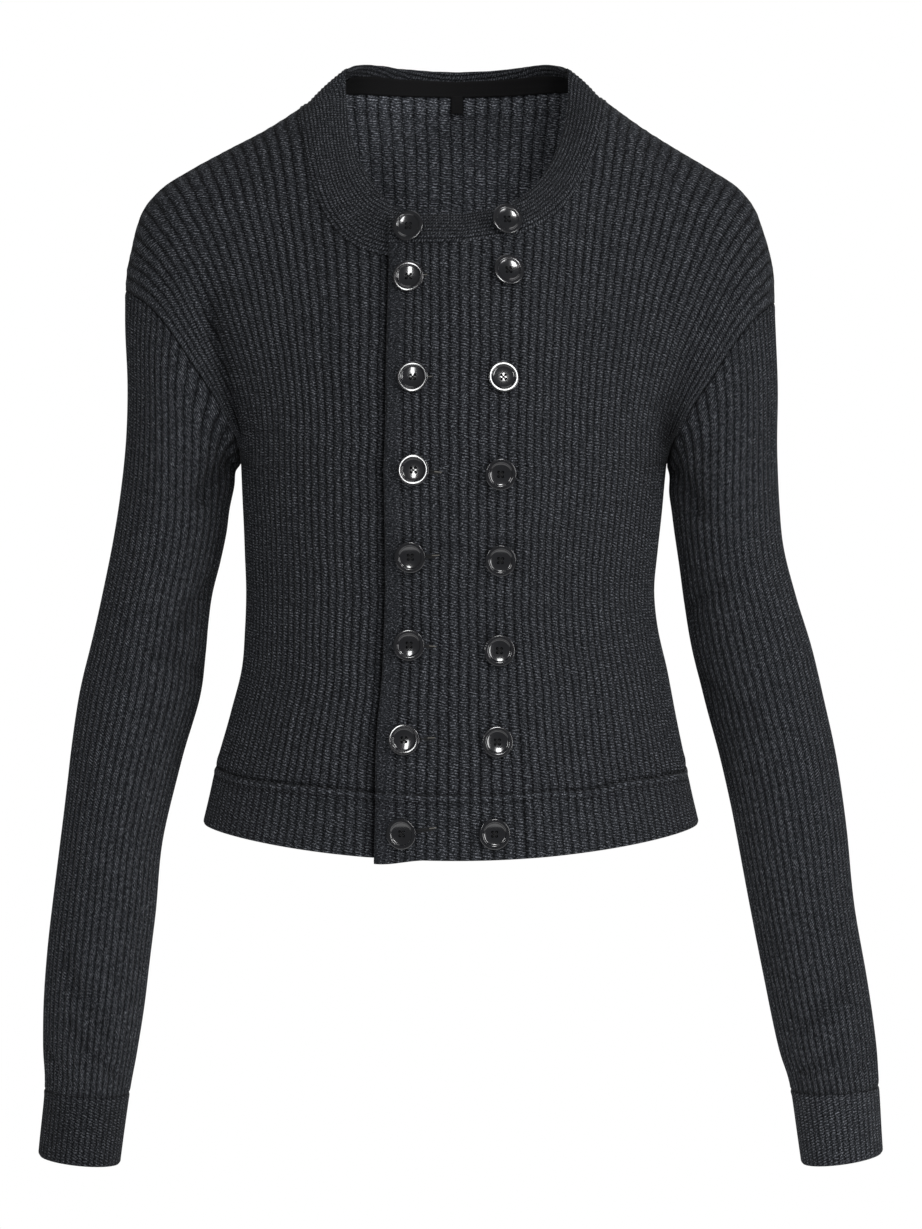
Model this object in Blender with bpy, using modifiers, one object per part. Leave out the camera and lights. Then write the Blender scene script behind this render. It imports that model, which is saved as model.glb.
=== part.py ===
"""Double-breasted rib-knit cardigan in its worn form, each cut piece a closed wall of its own.

Metres, +Z up. The front faces -Y and the wearer's left is +X. The origin lies midway between the
high shoulder points, at the middle of the depth. The tables and sizes below are in millimetres,
and the one function that makes meshes turns them into metres.
"""

import math

import bmesh
import bpy
import numpy as np
from mathutils import Matrix, Vector

MM = 0.001

# ---- driving dimensions -------------------------------------------------------------------------
WALL = 2.6                 # thickness of the rib knit
SEAM_GAP = 0.5             # space left between two pieces at a seam
SIDE_GAP = 0.8             # the same where front and back meet, on the shoulder and at the side
SEAM_ROW = 1.5             # narrow strip beside a seam, which keeps facing rims parallel
FRONT, BACK = -1, 1        # which way a face of the garment looks along Y
RIGHT, LEFT = -1, 1        # the wearer's sides, along X

UNDERARM_Z = -260.0
HEM_SEAM_Z = -462.0
HEM_EDGE_Z = -497.0

# Half sections of the body from the hem edge to the underarm, and one above it that sets the slope
# there. Heights at the side seam, in the middle of the front and of the back, then the reach to the
# right, left, front and back.
BODY = np.array((
    # z, front_z, back_z, right, left, front, back
    (-497, -511, -504, 168, 160, 113, 108),
    (-476, -486, -481, 163, 155, 111, 106),
    (-462, -470, -466, 160, 152, 109, 103),
    (-423, -428, -425, 149, 144, 103, 96),
    (-396, -399, -397, 142, 139, 99, 90),
    (-370, -371, -370, 140, 133, 97, 87),
    (-343, -343, -343, 139, 130, 98, 88),
    (-317, -317, -317, 140, 132, 103, 93),
    (-290, -290, -290, 141, 135, 111, 100),
    (-260, -260, -260, 142, 138, 116, 106),
    (-225, -225, -225, 144, 142, 115, 109),
), float)

# Shoulder line of each side: x outward and z. The first rows bridge the neck hole and are cut away.
SHOULDER = {
    RIGHT: np.array((
        (0, 20), (40, 13), (71, -2), (101, -25), (126, -41), (151, -54), (175, -67),
        (195, -80), (206, -93), (211, -106), (214, -119), (217, -133), (218, -146),
    ), float),
    LEFT: np.array((
        (0, 20), (40, 13), (70, -2), (96, -21), (124, -41), (145, -54), (167, -67),
        (186, -80), (196, -93), (201, -106), (205, -119), (208, -133), (209, -154),
    ), float),
}
NECK_POINT_ROW = 3         # row of SHOULDER where the neckline meets the shoulder line

# Depth of the front and of the back above the underarm, by the height on the centre line.
CHEST = {
    FRONT: np.array((
        (-290, 111), (-260, 116), (-225, 115), (-160, 99), (-112, 81), (-60, 65), (0, 54), (20, 50))),
    BACK: np.array((
        (-290, 100), (-260, 106), (-225, 109), (-160, 105), (-112, 95), (-60, 79), (-25, 67), (20, 56))),
}
FAN_DELAY = 0.5            # how much later than the armhole edge the inner ribs begin to fan out
ROLL_START = {FRONT: 0.55, BACK: 0.70}   # share of the height above which the shoulder rolls over

# Rings of each sleeve, from the armhole to the cuff seam and the cuff edge.
SLEEVE = {
    RIGHT: np.array((
        # outer_x, outer_z, inner_x, inner_z, half_depth, middle_y
        (218, -146, 142, -260, 45, 0), (218, -172, 146, -265, 46, 0), (217, -208, 147, -275, 47, 1),
        (218, -244, 150, -290, 46, 2), (222, -280, 152, -306, 45, 3), (227, -313, 156, -325, 44, 3),
        (234, -346, 162, -350, 42, 3), (242, -380, 166, -385, 41, 2), (250, -416, 170, -416, 40, 0),
        (256, -456, 182, -457, 38, -3), (261, -502, 194, -507, 36, -7), (267, -552, 199, -558, 35, -11),
        (272, -602, 205, -609, 34, -15), (273, -642, 211, -647, 33, -17), (272, -671, 216, -674, 31, -18),
        (276, -715, 222, -721, 29, -20),
    ), float),
    LEFT: np.array((
        (209, -154, 138, -260, 45, 0), (210, -182, 140, -268, 46, 0), (211, -215, 140, -279, 47, 1),
        (211, -251, 142, -292, 46, 2), (213, -287, 144, -307, 45, 3), (216, -317, 147, -329, 44, 3),
        (224, -348, 150, -352, 42, 3), (234, -380, 155, -383, 41, 2), (242, -415, 164, -418, 40, 0),
        (251, -456, 175, -458, 38, -3), (257, -502, 185, -507, 36, -7), (262, -549, 194, -554, 35, -11),
        (270, -595, 203, -602, 34, -15), (276, -639, 212, -645, 33, -17), (278, -669, 220, -672, 31, -18),
        (281, -713, 227, -721, 29, -20),
    ), float),
}
CUFF_SEAM_RING = 14
CUFF_EDGE_RING = 15
CUFF_GAP = 0.01            # rings left free on each side of the cuff seam
CUFF_ROW = 0.05            # rings in the narrow strip beside it
ARMHOLE_BOW = {RIGHT: 12.0, LEFT: 9.0}   # how far the armhole seam bows above its chord
BOW_RINGS = 3.0                          # rings over which the sleeve loses that bow

# Fronts: s runs from -1 at the right side seam through 0 at the centre to 1 at the left side seam.
FREE_EDGE = -0.225         # edge of the left front, on top
HIDDEN_EDGE = 0.178        # edge of the right front, below it
LAP_RAISE = 3.4            # how far the left front stands out where it lies on the right one
LAP_FULL = 0.205           # s up to which it stands out in full
LAP_END = 0.36             # s where it is back on the plain form

# Neckline of each piece over its columns s and the top edge of the neckband, as superellipses.
NECKLINE = {RIGHT: (-124.0, 3.6), LEFT: (-115.0, 2.4)}      # bottom z, exponent
BACK_NECKLINE = (-27.0, 2.0)                                # the same for the back
BAND_HALF = 72.5
BAND_SIDE_Z = -5.0
BAND_FRONT_Z = {RIGHT: -102.0, LEFT: -97.0}
BAND_FRONT_Y = -66.0
BAND_BACK_Y = 56.0
BAND_BACK_RISE = 6.0
BAND_BACK_POWER = 0.9      # how evenly its columns spread along the back
BAND_EXPONENT = 2.4
BAND_BULGE = 1.5
BAND_FLAT = 0.1            # share of the band's width at the seam that runs on with the panel
BAND_ROWS = (0.02, 0.08, 0.35, 0.68, 1.0)   # mesh rows as shares of the band's width
TAPE_TOP, TAPE_BOTTOM = 0.78, 0.38       # share of the band's width that the tape covers
TAPE_COLUMNS = 5                         # columns of the back that the tape spans on each side
TAPE_WALL = 1.0
LABEL_SIZE = (8.0, 1.0, 12.0)
LABEL_LAP = 0.04                         # share of the band's width by which it overlaps the tape

# Soft troughs pressed into the body from an upper point to a lower one.
TROUGH_FADE = 0.10         # share of s at the seams over which the troughs fade out
TROUGH_LIMIT = 0.35        # share of the body's depth that a trough may take
TROUGHS = (
    # face, side, upper x, upper z, lower x, lower z, depth, half width
    (FRONT, RIGHT, 160, -152, 141, -232, 8.0, 11.0),
    (FRONT, LEFT, 150, -175, 137, -235, 6.0, 13.0),
    (BACK, RIGHT, 162, -160, 143, -232, 6.5, 13.0),
    (BACK, LEFT, 155, -165, 139, -232, 6.5, 13.0),
)

# Buttons: place on the fronts and the lean of the face about X and about Z, in degrees.
BUTTONS = (
    # x, z, lean_x, lean_z
    (-30, -106, 4, -8), (-30, -139, 0, 2), (-28, -202, 0, 0), (-27, -261, 0, 1),
    (-29, -317, 5, -3), (-30, -374, 4, -4), (-33, -434, 3, -2), (-34, -493, 6, -12),
    (32, -102, 2, 10), (32, -135, 3, 6), (29, -202, 0, 0), (27, -264, 2, 2),
    (27, -319, 4, 2), (27, -377, 3, 3), (25, -436, 2, 4), (24, -493, 5, 3),
)
BUTTON_RADIUS = 10.0
BUTTON_LIFT = 0.35         # gap between a button's back and the cloth
BUTTON_PROFILE = ((8.4, 0.0), (9.8, 1.1), (10.0, 2.1), (9.2, 3.0), (8.1, 2.9), (7.3, 2.2), (4.6, 1.9))
HOLE_RADIUS, HOLE_PITCH = 1.0, 2.6

# Mesh density of the faceted pieces.
CENTRE_S = (FREE_EDGE, -0.125, -0.02, 0.08, HIDDEN_EDGE)
NECK_TURNS = (36, 50, 62, 74)            # degrees round the neckline, 90 at the shoulder point
SIDE_S = (0.45, 0.55, 0.65, 0.75, 0.85, 0.93, 0.99, 1.0)
BACK_TURNS = (16, 32, 48, 63, 76)
LOW_ROWS = 7
NECK_ROW = 0.992           # share of a column's height at the narrow row below its upper end
SLEEVE_ROWS = (0.5, 1.2, 2.2, 3.4, 4.6, 5.8, 7, 8.2, 9.4, 10.6, 11.8, 13)
HIGH_ROWS = 10
BUTTON_STEPS = 18
FRONT_GRID = (118, 325)    # columns and rows in the search for a button's place
NECK_H_MAX = 0.62          # h up to which that search goes
STEP = 0.001               # step in s, h or w for reading a surface's direction

KNIT, KNIT_DARK, BLACK, GLOSS = "rib_knit", "fine_rib", "tape_twill", "button_plastic"
FINISH = {
    KNIT: ((0.026, 0.028, 0.032, 1), 0.95),
    KNIT_DARK: ((0.024, 0.026, 0.029, 1), 0.95),
    BLACK: ((0.008, 0.008, 0.008, 1), 0.8),
    GLOSS: ((0.012, 0.012, 0.013, 1), 0.22),
}


# ---- the form -----------------------------------------------------------------------------------
def curve(keys, values, at):
    """Smooth curve through rows of values at rising keys, read at `at`."""
    keys = np.asarray(keys, float)
    values = np.asarray(values, float)
    slopes = np.gradient(values, keys, axis=0)
    at = np.asarray(at, float)
    i = np.clip(np.searchsorted(keys, at) - 1, 0, len(keys) - 2)
    step = keys[i + 1] - keys[i]
    u = (at - keys[i]) / step
    if values.ndim > 1:
        u, step = u[..., None], step[..., None]
    h0 = 2 * u**3 - 3 * u**2 + 1
    h1 = u**3 - 2 * u**2 + u
    h2 = 3 * u**2 - 2 * u**3
    h3 = u**3 - u**2
    return h0 * values[i] + h1 * step * slopes[i] + h2 * values[i + 1] + h3 * step * slopes[i + 1]


def along(points):
    """Share of the length of a polyline at each of its points."""
    steps = np.hypot(*np.diff(points, axis=0).T)
    reach = np.concatenate(([0.0], np.cumsum(steps)))
    return reach / reach[-1]


SHOULDER_SHARE = {side: along(SHOULDER[side]) for side in (RIGHT, LEFT)}
NECK_POINT_S = {side: SHOULDER_SHARE[side][NECK_POINT_ROW] for side in (RIGHT, LEFT)}


def ring(side, k, turn):
    """Point of a sleeve ring. turn is 0 at the inner edge, pi/2 in front and pi at the outer edge."""
    k, turn = np.broadcast_arrays(np.asarray(k, float), np.asarray(turn, float))
    outer_x, outer_z, inner_x, inner_z, half_depth, middle_y = np.moveaxis(
        curve(np.arange(len(SLEEVE[side])), SLEEVE[side], k), -1, 0)
    share = (1 - np.cos(turn)) / 2
    across_x, across_z = outer_x - inner_x, outer_z - inner_z
    chord = np.hypot(across_x, across_z)
    fade = np.clip(1 - k / BOW_RINGS, 0, 1) ** 2
    bow = ARMHOLE_BOW[side] * fade * (1 - (2 * share - 1) ** 4)
    x = inner_x + share * across_x - bow * across_z / chord
    z = inner_z + share * across_z + bow * across_x / chord
    y = middle_y - half_depth * np.sin(turn)
    return np.stack((side * x, y, z), -1)


def lower_body(s, h, face):
    """Body below the underarm: h from -1 at the hem edge to 0 at the underarm."""
    z_side = UNDERARM_Z + h * (UNDERARM_Z - HEM_EDGE_Z)
    z, front_z, back_z, right, left, front, back = np.moveaxis(curve(BODY[:, 0], BODY, z_side), -1, 0)
    angle = np.abs(s) * math.pi / 2
    half = np.where(s < 0, right, left)
    centre_z, depth = (front_z, front) if face == FRONT else (back_z, back)
    x = np.sign(s) * half * np.sin(angle)
    return np.stack((x, face * depth * np.cos(angle), z + (centre_z - z) * np.cos(angle) ** 2), -1)


def upper_body(s, v, face):
    """Body above the underarm: v from 0 at the underarm to 1 on the shoulder line."""
    a = np.abs(s)
    turn = math.pi * v
    share = (1 - np.cos(turn)) / 2
    x, z = np.zeros_like(a), np.zeros_like(a)
    reach = np.zeros_like(a)
    for side in (RIGHT, LEFT):
        top = curve(SHOULDER_SHARE[side], SHOULDER[side], a)
        edge = ring(side, 0.0, turn)
        inner, outer = SLEEVE[side][0, 2:4], SLEEVE[side][0, 0:2]
        bow_x = side * edge[..., 0] - (inner[0] + share * (outer[0] - inner[0]))
        bow_z = edge[..., 2] - (inner[1] + share * (outer[1] - inner[1]))
        low_x = inner[0] * np.sin(a * math.pi / 2)
        lean = share ** (1 + FAN_DELAY * (1 - a**4))
        here = (s < 0) if side == RIGHT else (s >= 0)
        x = np.where(here, side * (low_x + lean * (top[..., 0] - low_x) + a**2 * bow_x), x)
        z = np.where(here, (1 - share) * UNDERARM_Z + share * top[..., 1] + a**2 * bow_z, z)
        reach = np.where(here, -edge[..., 1], reach)
    centre_z = UNDERARM_Z + share * (SHOULDER[LEFT][0, 1] - UNDERARM_Z)
    start = ROLL_START[face]
    roll = np.sqrt(np.clip(1 - (np.clip(share - start, 0, 1) / (1 - start)) ** 2, 0, 1))
    depth = curve(CHEST[face][:, 0], CHEST[face][:, 1], centre_z) * roll
    y = depth * np.cos(a * math.pi / 2) + reach * a**3
    return np.stack((x, face * y, z), -1)


def trough_depth(x, z, face):
    """How far the soft troughs press the cloth in at a place on a face."""
    total = np.zeros_like(x)
    for at_face, side, x0, z0, x1, z1, depth, width in TROUGHS:
        if at_face != face:
            continue
        run_x, run_z = side * (x1 - x0), z1 - z0
        length = run_x**2 + run_z**2
        t = np.clip(((x - side * x0) * run_x + (z - z0) * run_z) / length, 0, 1)
        away = np.hypot(x - side * x0 - t * run_x, z - z0 - t * run_z)
        total += depth * np.exp(-(away / width) ** 2)
    return total


def body(s, h, face):
    """Outer surface of the body, h from -1 at the hem edge through 0 at the underarm to 1 on top."""
    s, h = np.broadcast_arrays(np.asarray(s, float), np.asarray(h, float))
    low = lower_body(s, np.minimum(h, 0), face)
    high = upper_body(s, np.maximum(h, 0), face)
    point = np.where((h < 0)[..., None], low, high)
    room = np.abs(point[..., 1])
    pressed = trough_depth(point[..., 0], point[..., 2], face)
    fade = np.clip((1 - np.abs(s)) / TROUGH_FADE, 0, 1)
    pressed = np.minimum(pressed, TROUGH_LIMIT * room) * fade * fade * (3 - 2 * fade)
    point[..., 1] += face * (SIDE_GAP / 2 - pressed)
    return point


def unit(v):
    return v / np.linalg.norm(v, axis=-1, keepdims=True)


def raised(s, h, amount):
    """Front surface moved out by `amount` along its own normal."""
    across = body(s + STEP, h, FRONT) - body(s - STEP, h, FRONT)
    upper = np.minimum(h + STEP, 1 - STEP)
    up = body(s, upper, FRONT) - body(s, upper - 2 * STEP, FRONT)
    return body(s, h, FRONT) + unit(np.cross(across, up)) * np.asarray(amount)[..., None]


def lap(s):
    """How far the left front stands out at s."""
    t = np.clip((LAP_END - s) / (LAP_END - LAP_FULL), 0, 1)
    return LAP_RAISE * t * t * (3 - 2 * t)


def right_front(s, h):
    return body(s, h, FRONT)


def left_front(s, h):
    return raised(s, h, lap(s))


def back(s, h):
    return body(s, h, BACK)


def neck_side(s, piece):
    """Side of the neckline that each column of a piece belongs to."""
    if piece is back:
        return np.where(s < 0, RIGHT, LEFT)
    return np.full(np.shape(s), RIGHT if piece is right_front else LEFT)


def neck_share(s, piece):
    """0 in the middle of the neckline, 1 at the shoulder point and beyond."""
    own = neck_side(s, piece)
    return np.clip(own * s / np.where(own == RIGHT, NECK_POINT_S[RIGHT], NECK_POINT_S[LEFT]), 0, 1)


def neckline(side, piece):
    return BACK_NECKLINE if piece is back else NECKLINE[side]


def neck_h(s, piece):
    """h at which column s of a piece ends: at the neckline, or at 1 on the shoulder line."""
    s = np.asarray(s, float)
    share = neck_share(s, piece)
    own = neck_side(s, piece)
    neck_z = np.zeros_like(s)
    for side in (RIGHT, LEFT):
        bottom, power = neckline(side, piece)
        top = SHOULDER[side][NECK_POINT_ROW, 1]
        neck_z = np.where(own == side, top + (bottom - top) * (1 - share**power) ** (1 / power), neck_z)
    low, high = np.full_like(s, 0.05), np.ones_like(s)
    for _ in range(30):
        middle = (low + high) / 2
        above = body(s, middle, BACK if piece is back else FRONT)[..., 2] > neck_z
        high, low = np.where(above, middle, high), np.where(above, low, middle)
    return np.where(share < 1, (low + high) / 2, 1.0)


def neck_seam(s, piece):
    return piece(np.asarray(s, float), neck_h(s, piece))


def neck_columns(piece, side, turns):
    """Columns s of a piece at given turns round its neckline, ending at the shoulder point."""
    power = neckline(side, piece)[1]
    shares = np.append(np.sin(np.radians(turns)) ** (2 / power), 1.0)
    return side * NECK_POINT_S[side] * shares


# ---- the neckband -------------------------------------------------------------------------------
def band_edge(s, piece):
    """Top edge of the neckband opposite the neckline point of column s."""
    side = RIGHT if piece is right_front else LEFT
    share = neck_share(s, piece)
    if piece is back:
        sine = np.sqrt(1 - share**2)
        rise = BAND_BACK_RISE * (1 - (1 - sine) ** 3)
        x = np.sign(s) * BAND_HALF * share**BAND_BACK_POWER
        return np.stack((x, BAND_BACK_Y * sine, BAND_SIDE_Z + rise), -1)
    seam = neck_seam(s, piece)
    middle = neck_seam(np.zeros_like(s), piece)
    cosine = share ** (NECKLINE[side][1] / 2)
    sine = np.sqrt(1 - cosine**2)
    past = side * s < 0
    x = np.where(past, seam[..., 0], side * BAND_HALF * cosine ** (2 / BAND_EXPONENT))
    y = BAND_FRONT_Y * sine + np.where(past, seam[..., 1] - middle[..., 1], 0)
    if piece is left_front:
        y = y - lap(s)
    z = BAND_SIDE_Z + (BAND_FRONT_Z[side] - BAND_SIDE_Z) * sine ** (2 / BAND_EXPONENT)
    return np.stack((x, y, z), -1)


def band_point(s, w, piece):
    """Outer surface of the neckband: w from 0 at the seam to 1 at the top edge."""
    seam, edge = neck_seam(s, piece), band_edge(s, piece)
    tangent = neck_seam(s + STEP, piece) - neck_seam(s - STEP, piece)
    h = neck_h(s, piece) - 2 * STEP
    normal = np.cross(piece(s + STEP, h) - piece(s - STEP, h), piece(s, h + STEP) - piece(s, h - STEP))
    if piece is back:
        normal = -normal
    away = unit(np.cross(unit(normal), unit(tangent)))
    away = away * np.sign(np.sum(away * (edge - seam), -1, keepdims=True))
    w = np.asarray(w, float)[..., None]
    width = np.linalg.norm(edge - seam, axis=-1, keepdims=True)
    start = seam + away * BAND_FLAT * width
    t = np.clip((w - BAND_FLAT) / (1 - BAND_FLAT), 0, 1)
    out = unit(np.cross(edge - start, tangent))
    out = out * np.sign(np.sum(out * normal, -1, keepdims=True))
    rest = start + t * (edge - start) + out * BAND_BULGE * np.sin(math.pi * t)
    return np.where(w < BAND_FLAT, seam + away * w * width, rest)


# ---- meshes -------------------------------------------------------------------------------------
def clear_scene():
    for thing in list(bpy.data.objects):
        bpy.data.objects.remove(thing, do_unlink=True)


def material(name, finish):
    colour, roughness = FINISH[finish]
    made = bpy.data.materials.new(name)
    made.use_nodes = True
    shader = made.node_tree.nodes["Principled BSDF"]
    shader.inputs["Base Color"].default_value = colour
    shader.inputs["Roughness"].default_value = roughness
    shader.inputs["Metallic"].default_value = 0.0
    return made


def add_object(name, bm, finish):
    mesh = bpy.data.meshes.new(name)
    bm.to_mesh(mesh)
    bm.free()
    mesh.materials.append(material(f"{name}_finish", finish))
    made = bpy.data.objects.new(name, mesh)
    garment.objects.link(made)
    return made


def cloth(name, across, up, place, finish=KNIT, wall=WALL, flip=False, closed=False):
    """Wall of cloth on a grid: place(i, j) gives the outer point of each grid vertex in mm."""
    bm = bmesh.new()
    bmesh.ops.create_grid(bm, x_segments=across, y_segments=up, size=1.0)
    verts = list(bm.verts)
    i = np.array([round((v.co.x + 1) / 2 * across) for v in verts])
    j = np.array([round((v.co.y + 1) / 2 * up) for v in verts])
    for vert, point in zip(verts, place(i, j) * MM, strict=True):
        vert.co = point
    if closed:
        bmesh.ops.remove_doubles(bm, verts=bm.verts, dist=0.00001)
    if flip:
        bmesh.ops.reverse_faces(bm, faces=bm.faces)
    made = add_object(name, bm, finish)
    solid = made.modifiers.new("wall", "SOLIDIFY")
    solid.thickness = wall * MM
    solid.offset = -1.0
    solid.use_even_offset = True
    return made


def to_h(z):
    """h of a height z on the side seam below the underarm."""
    return (np.asarray(z, float) - UNDERARM_Z) / (UNDERARM_Z - HEM_EDGE_Z)


def panel(name, columns, piece, flip=False):
    """Body panel from the hem seam to the neckline and the shoulder line."""
    s = np.array(columns)
    top = neck_h(s, piece)
    bottom = HEM_SEAM_Z + SEAM_GAP / 2
    low = to_h((bottom, bottom + SEAM_ROW, *np.linspace(bottom, UNDERARM_Z, LOW_ROWS + 1)[1:]))
    high = np.append(np.linspace(0, 1, HIGH_ROWS + 1)[1:-1], (NECK_ROW, 1.0))

    def place(i, j):
        h = np.where(j < len(low), low[np.minimum(j, len(low) - 1)], 0.0)
        share = high[np.clip(j - len(low), 0, len(high) - 1)]
        h = np.where(j >= len(low), share * top[i], h)
        return piece(s[i], h)

    return cloth(name, len(s) - 1, len(low) + len(high) - 1, place, flip=flip)


def hem_band(name, columns, piece, flip=False):
    s = np.array(columns)
    top = HEM_SEAM_Z - SEAM_GAP / 2
    h = to_h((HEM_EDGE_Z, HEM_EDGE_Z + SEAM_ROW, top - SEAM_ROW, top))
    return cloth(name, len(s) - 1, len(h) - 1, lambda i, j: piece(s[i], h[j]), KNIT_DARK, flip=flip)


def sleeve_turns():
    """Turns round a sleeve that meet the rows of the body's armhole edge."""
    front = math.pi * np.linspace(0, 1, HIGH_ROWS + 1)
    return np.concatenate((front, 2 * math.pi - front[-2::-1]))


def tube(name, side, rings, finish, from_armhole=False):
    turns = sleeve_turns()
    k = np.array(rings, float)

    def place(i, j):
        turn = turns[i]
        point = ring(side, k[j], turn)
        if from_armhole:
            start = ring(side, 0.0, turn)
            down = unit(ring(side, SLEEVE_ROWS[0] / 2, turn) - start)
            row = np.where(j == 0, SEAM_GAP, SEAM_GAP + SEAM_ROW)[..., None]
            point = np.where((j < 2)[..., None], start + down * row, point)
        return point

    return cloth(name, len(turns) - 1, len(k) - 1, place, finish, flip=side == LEFT, closed=True)


def neckband(name):
    """One strip from the hidden end of the right front round the neck to the free end on top."""
    under = [*CENTRE_S[::-1], *neck_columns(right_front, RIGHT, NECK_TURNS)]
    behind = back_columns(within_neck=True)
    over = [*neck_columns(left_front, LEFT, NECK_TURNS)[::-1], *CENTRE_S[::-1]]
    stretches = ((np.array(under), right_front), (np.array(behind[1:-1]), back), (np.array(over), left_front))
    grid = np.array([np.concatenate([band_point(s, np.full_like(s, w), piece) for s, piece in stretches])
                     for w in BAND_ROWS])
    return cloth(name, grid.shape[1] - 1, len(grid) - 1, lambda i, j: grid[j, i], KNIT_DARK, flip=True)


def back_columns(within_neck=False):
    columns = [*neck_columns(back, RIGHT, BACK_TURNS)[::-1], 0.0, *neck_columns(back, LEFT, BACK_TURNS)]
    if within_neck:
        return columns
    return [*(-s for s in SIDE_S[::-1]), *columns, *SIDE_S]


def inside_band(s, w, depth):
    """Point at a depth inside the back of the neckband."""
    across = band_point(s + STEP, w, back) - band_point(s - STEP, w, back)
    rise = band_point(s, w + STEP, back) - band_point(s, w - STEP, back)
    return band_point(s, w, back) + unit(np.cross(across, rise)) * depth


def neck_tape(name):
    columns = back_columns(within_neck=True)
    middle = len(columns) // 2
    s = np.array(columns[middle - TAPE_COLUMNS:middle + TAPE_COLUMNS + 1])
    w = np.linspace(TAPE_BOTTOM, TAPE_TOP, 3)
    return cloth(name, len(s) - 1, len(w) - 1, lambda i, j: inside_band(s[i], w[j], WALL + SEAM_GAP),
                 BLACK, wall=TAPE_WALL, flip=True)


def neck_label(name):
    top = inside_band(np.zeros(1), np.full(1, TAPE_BOTTOM + LABEL_LAP), WALL + TAPE_WALL + 2 * SEAM_GAP)[0]
    middle = Vector((0, top[1] - LABEL_SIZE[1] / 2, top[2] - LABEL_SIZE[2] / 2))
    bm = bmesh.new()
    bmesh.ops.create_cube(bm, size=1.0)
    bmesh.ops.scale(bm, vec=Vector(LABEL_SIZE) * MM, verts=bm.verts)
    bmesh.ops.translate(bm, vec=middle * MM, verts=bm.verts)
    return add_object(name, bm, BLACK)


# ---- buttons ------------------------------------------------------------------------------------
def find_on_front(x, z):
    """Nearest point of the left front to x, z, its outward normal, and the surface round about."""
    s = np.linspace(FREE_EDGE, LAP_END, FRONT_GRID[0])
    h = np.linspace(-1, NECK_H_MAX, FRONT_GRID[1])
    points = left_front(*np.meshgrid(s, h))
    away = np.hypot(points[..., 0] - x, points[..., 2] - z)
    row, column = divmod(int(np.argmin(away)), len(s))
    row, column = np.clip((row, column), 1, np.array(away.shape) - 2)
    across = points[row, column + 1] - points[row, column - 1]
    up = points[row + 1, column] - points[row - 1, column]
    return points[row, column], unit(np.cross(across, up)), points[away < BUTTON_RADIUS]


def hole_cutter(angle):
    bm = bmesh.new()
    bmesh.ops.create_cone(bm, cap_ends=True, segments=6, radius1=HOLE_RADIUS * MM,
                          radius2=HOLE_RADIUS * MM, depth=12 * MM)
    offset = Matrix.Rotation(angle, 3, "Z") @ Vector((HOLE_PITCH / math.sqrt(2), 0, 0))
    bmesh.ops.translate(bm, vec=offset * MM, verts=bm.verts)
    return bm


def button_mesh():
    """Turned four-hole button, its back on z = 0 and its face up."""
    bm = bmesh.new()
    rim = [bm.verts.new((r * MM, 0, h * MM)) for r, h in BUTTON_PROFILE]
    for a, b in zip(rim, rim[1:]):
        bm.edges.new((a, b))
    bmesh.ops.spin(bm, geom=bm.verts[:] + bm.edges[:], cent=(0, 0, 0), axis=(0, 0, 1), dvec=(0, 0, 0),
                   angle=2 * math.pi, steps=BUTTON_STEPS, use_merge=True)
    bmesh.ops.holes_fill(bm, edges=[e for e in bm.edges if e.is_boundary], sides=0)
    bmesh.ops.recalc_face_normals(bm, faces=bm.faces)
    blank = add_object("button_blank", bm, GLOSS)
    for index in range(4):
        cutter = bpy.data.objects.new(f"cutter_{index}", bpy.data.meshes.new("cutter"))
        hole = hole_cutter(math.radians(45 + 90 * index))
        hole.to_mesh(cutter.data)
        hole.free()
        cutters.objects.link(cutter)
        cutter.hide_render = True
        cutter.display_type = "WIRE"
        cut = blank.modifiers.new(f"hole_{index}", "BOOLEAN")
        cut.operation = "DIFFERENCE"
        cut.object = cutter
    seen = blank.evaluated_get(bpy.context.evaluated_depsgraph_get())
    mesh = bpy.data.meshes.new_from_object(seen)
    bpy.data.objects.remove(blank, do_unlink=True)
    for cutter in list(cutters.objects):
        bpy.data.objects.remove(cutter, do_unlink=True)
    return mesh


def add_button(index, mesh, row):
    """Copy of the button, leaned as it hangs and lifted until its back just clears the cloth."""
    x, z, lean_x, lean_z = row
    point, normal, around = find_on_front(x, z)
    lean = Matrix.Rotation(math.radians(lean_x), 3, "X") @ Matrix.Rotation(math.radians(lean_z), 3, "Z")
    facing = lean @ Vector(normal)
    reach = around - point
    height = reach @ np.array(facing)
    under_back = np.linalg.norm(reach - height[:, None] * np.array(facing), axis=1) < BUTTON_PROFILE[0][0]
    lift = float(np.max(height[under_back])) + BUTTON_LIFT
    name = f"button_{'right' if x < 0 else 'left'}_{index % 8 + 1}"
    own = mesh.copy()
    own.materials.clear()
    own.materials.append(material(f"{name}_finish", GLOSS))
    made = bpy.data.objects.new(name, own)
    made.rotation_euler = facing.to_track_quat("Z", "Y").to_euler()
    made.location = (Vector(point) + facing * lift) * MM
    garment.objects.link(made)


def collection(name):
    made = bpy.data.collections.new(name)
    bpy.context.scene.collection.children.link(made)
    return made


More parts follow.
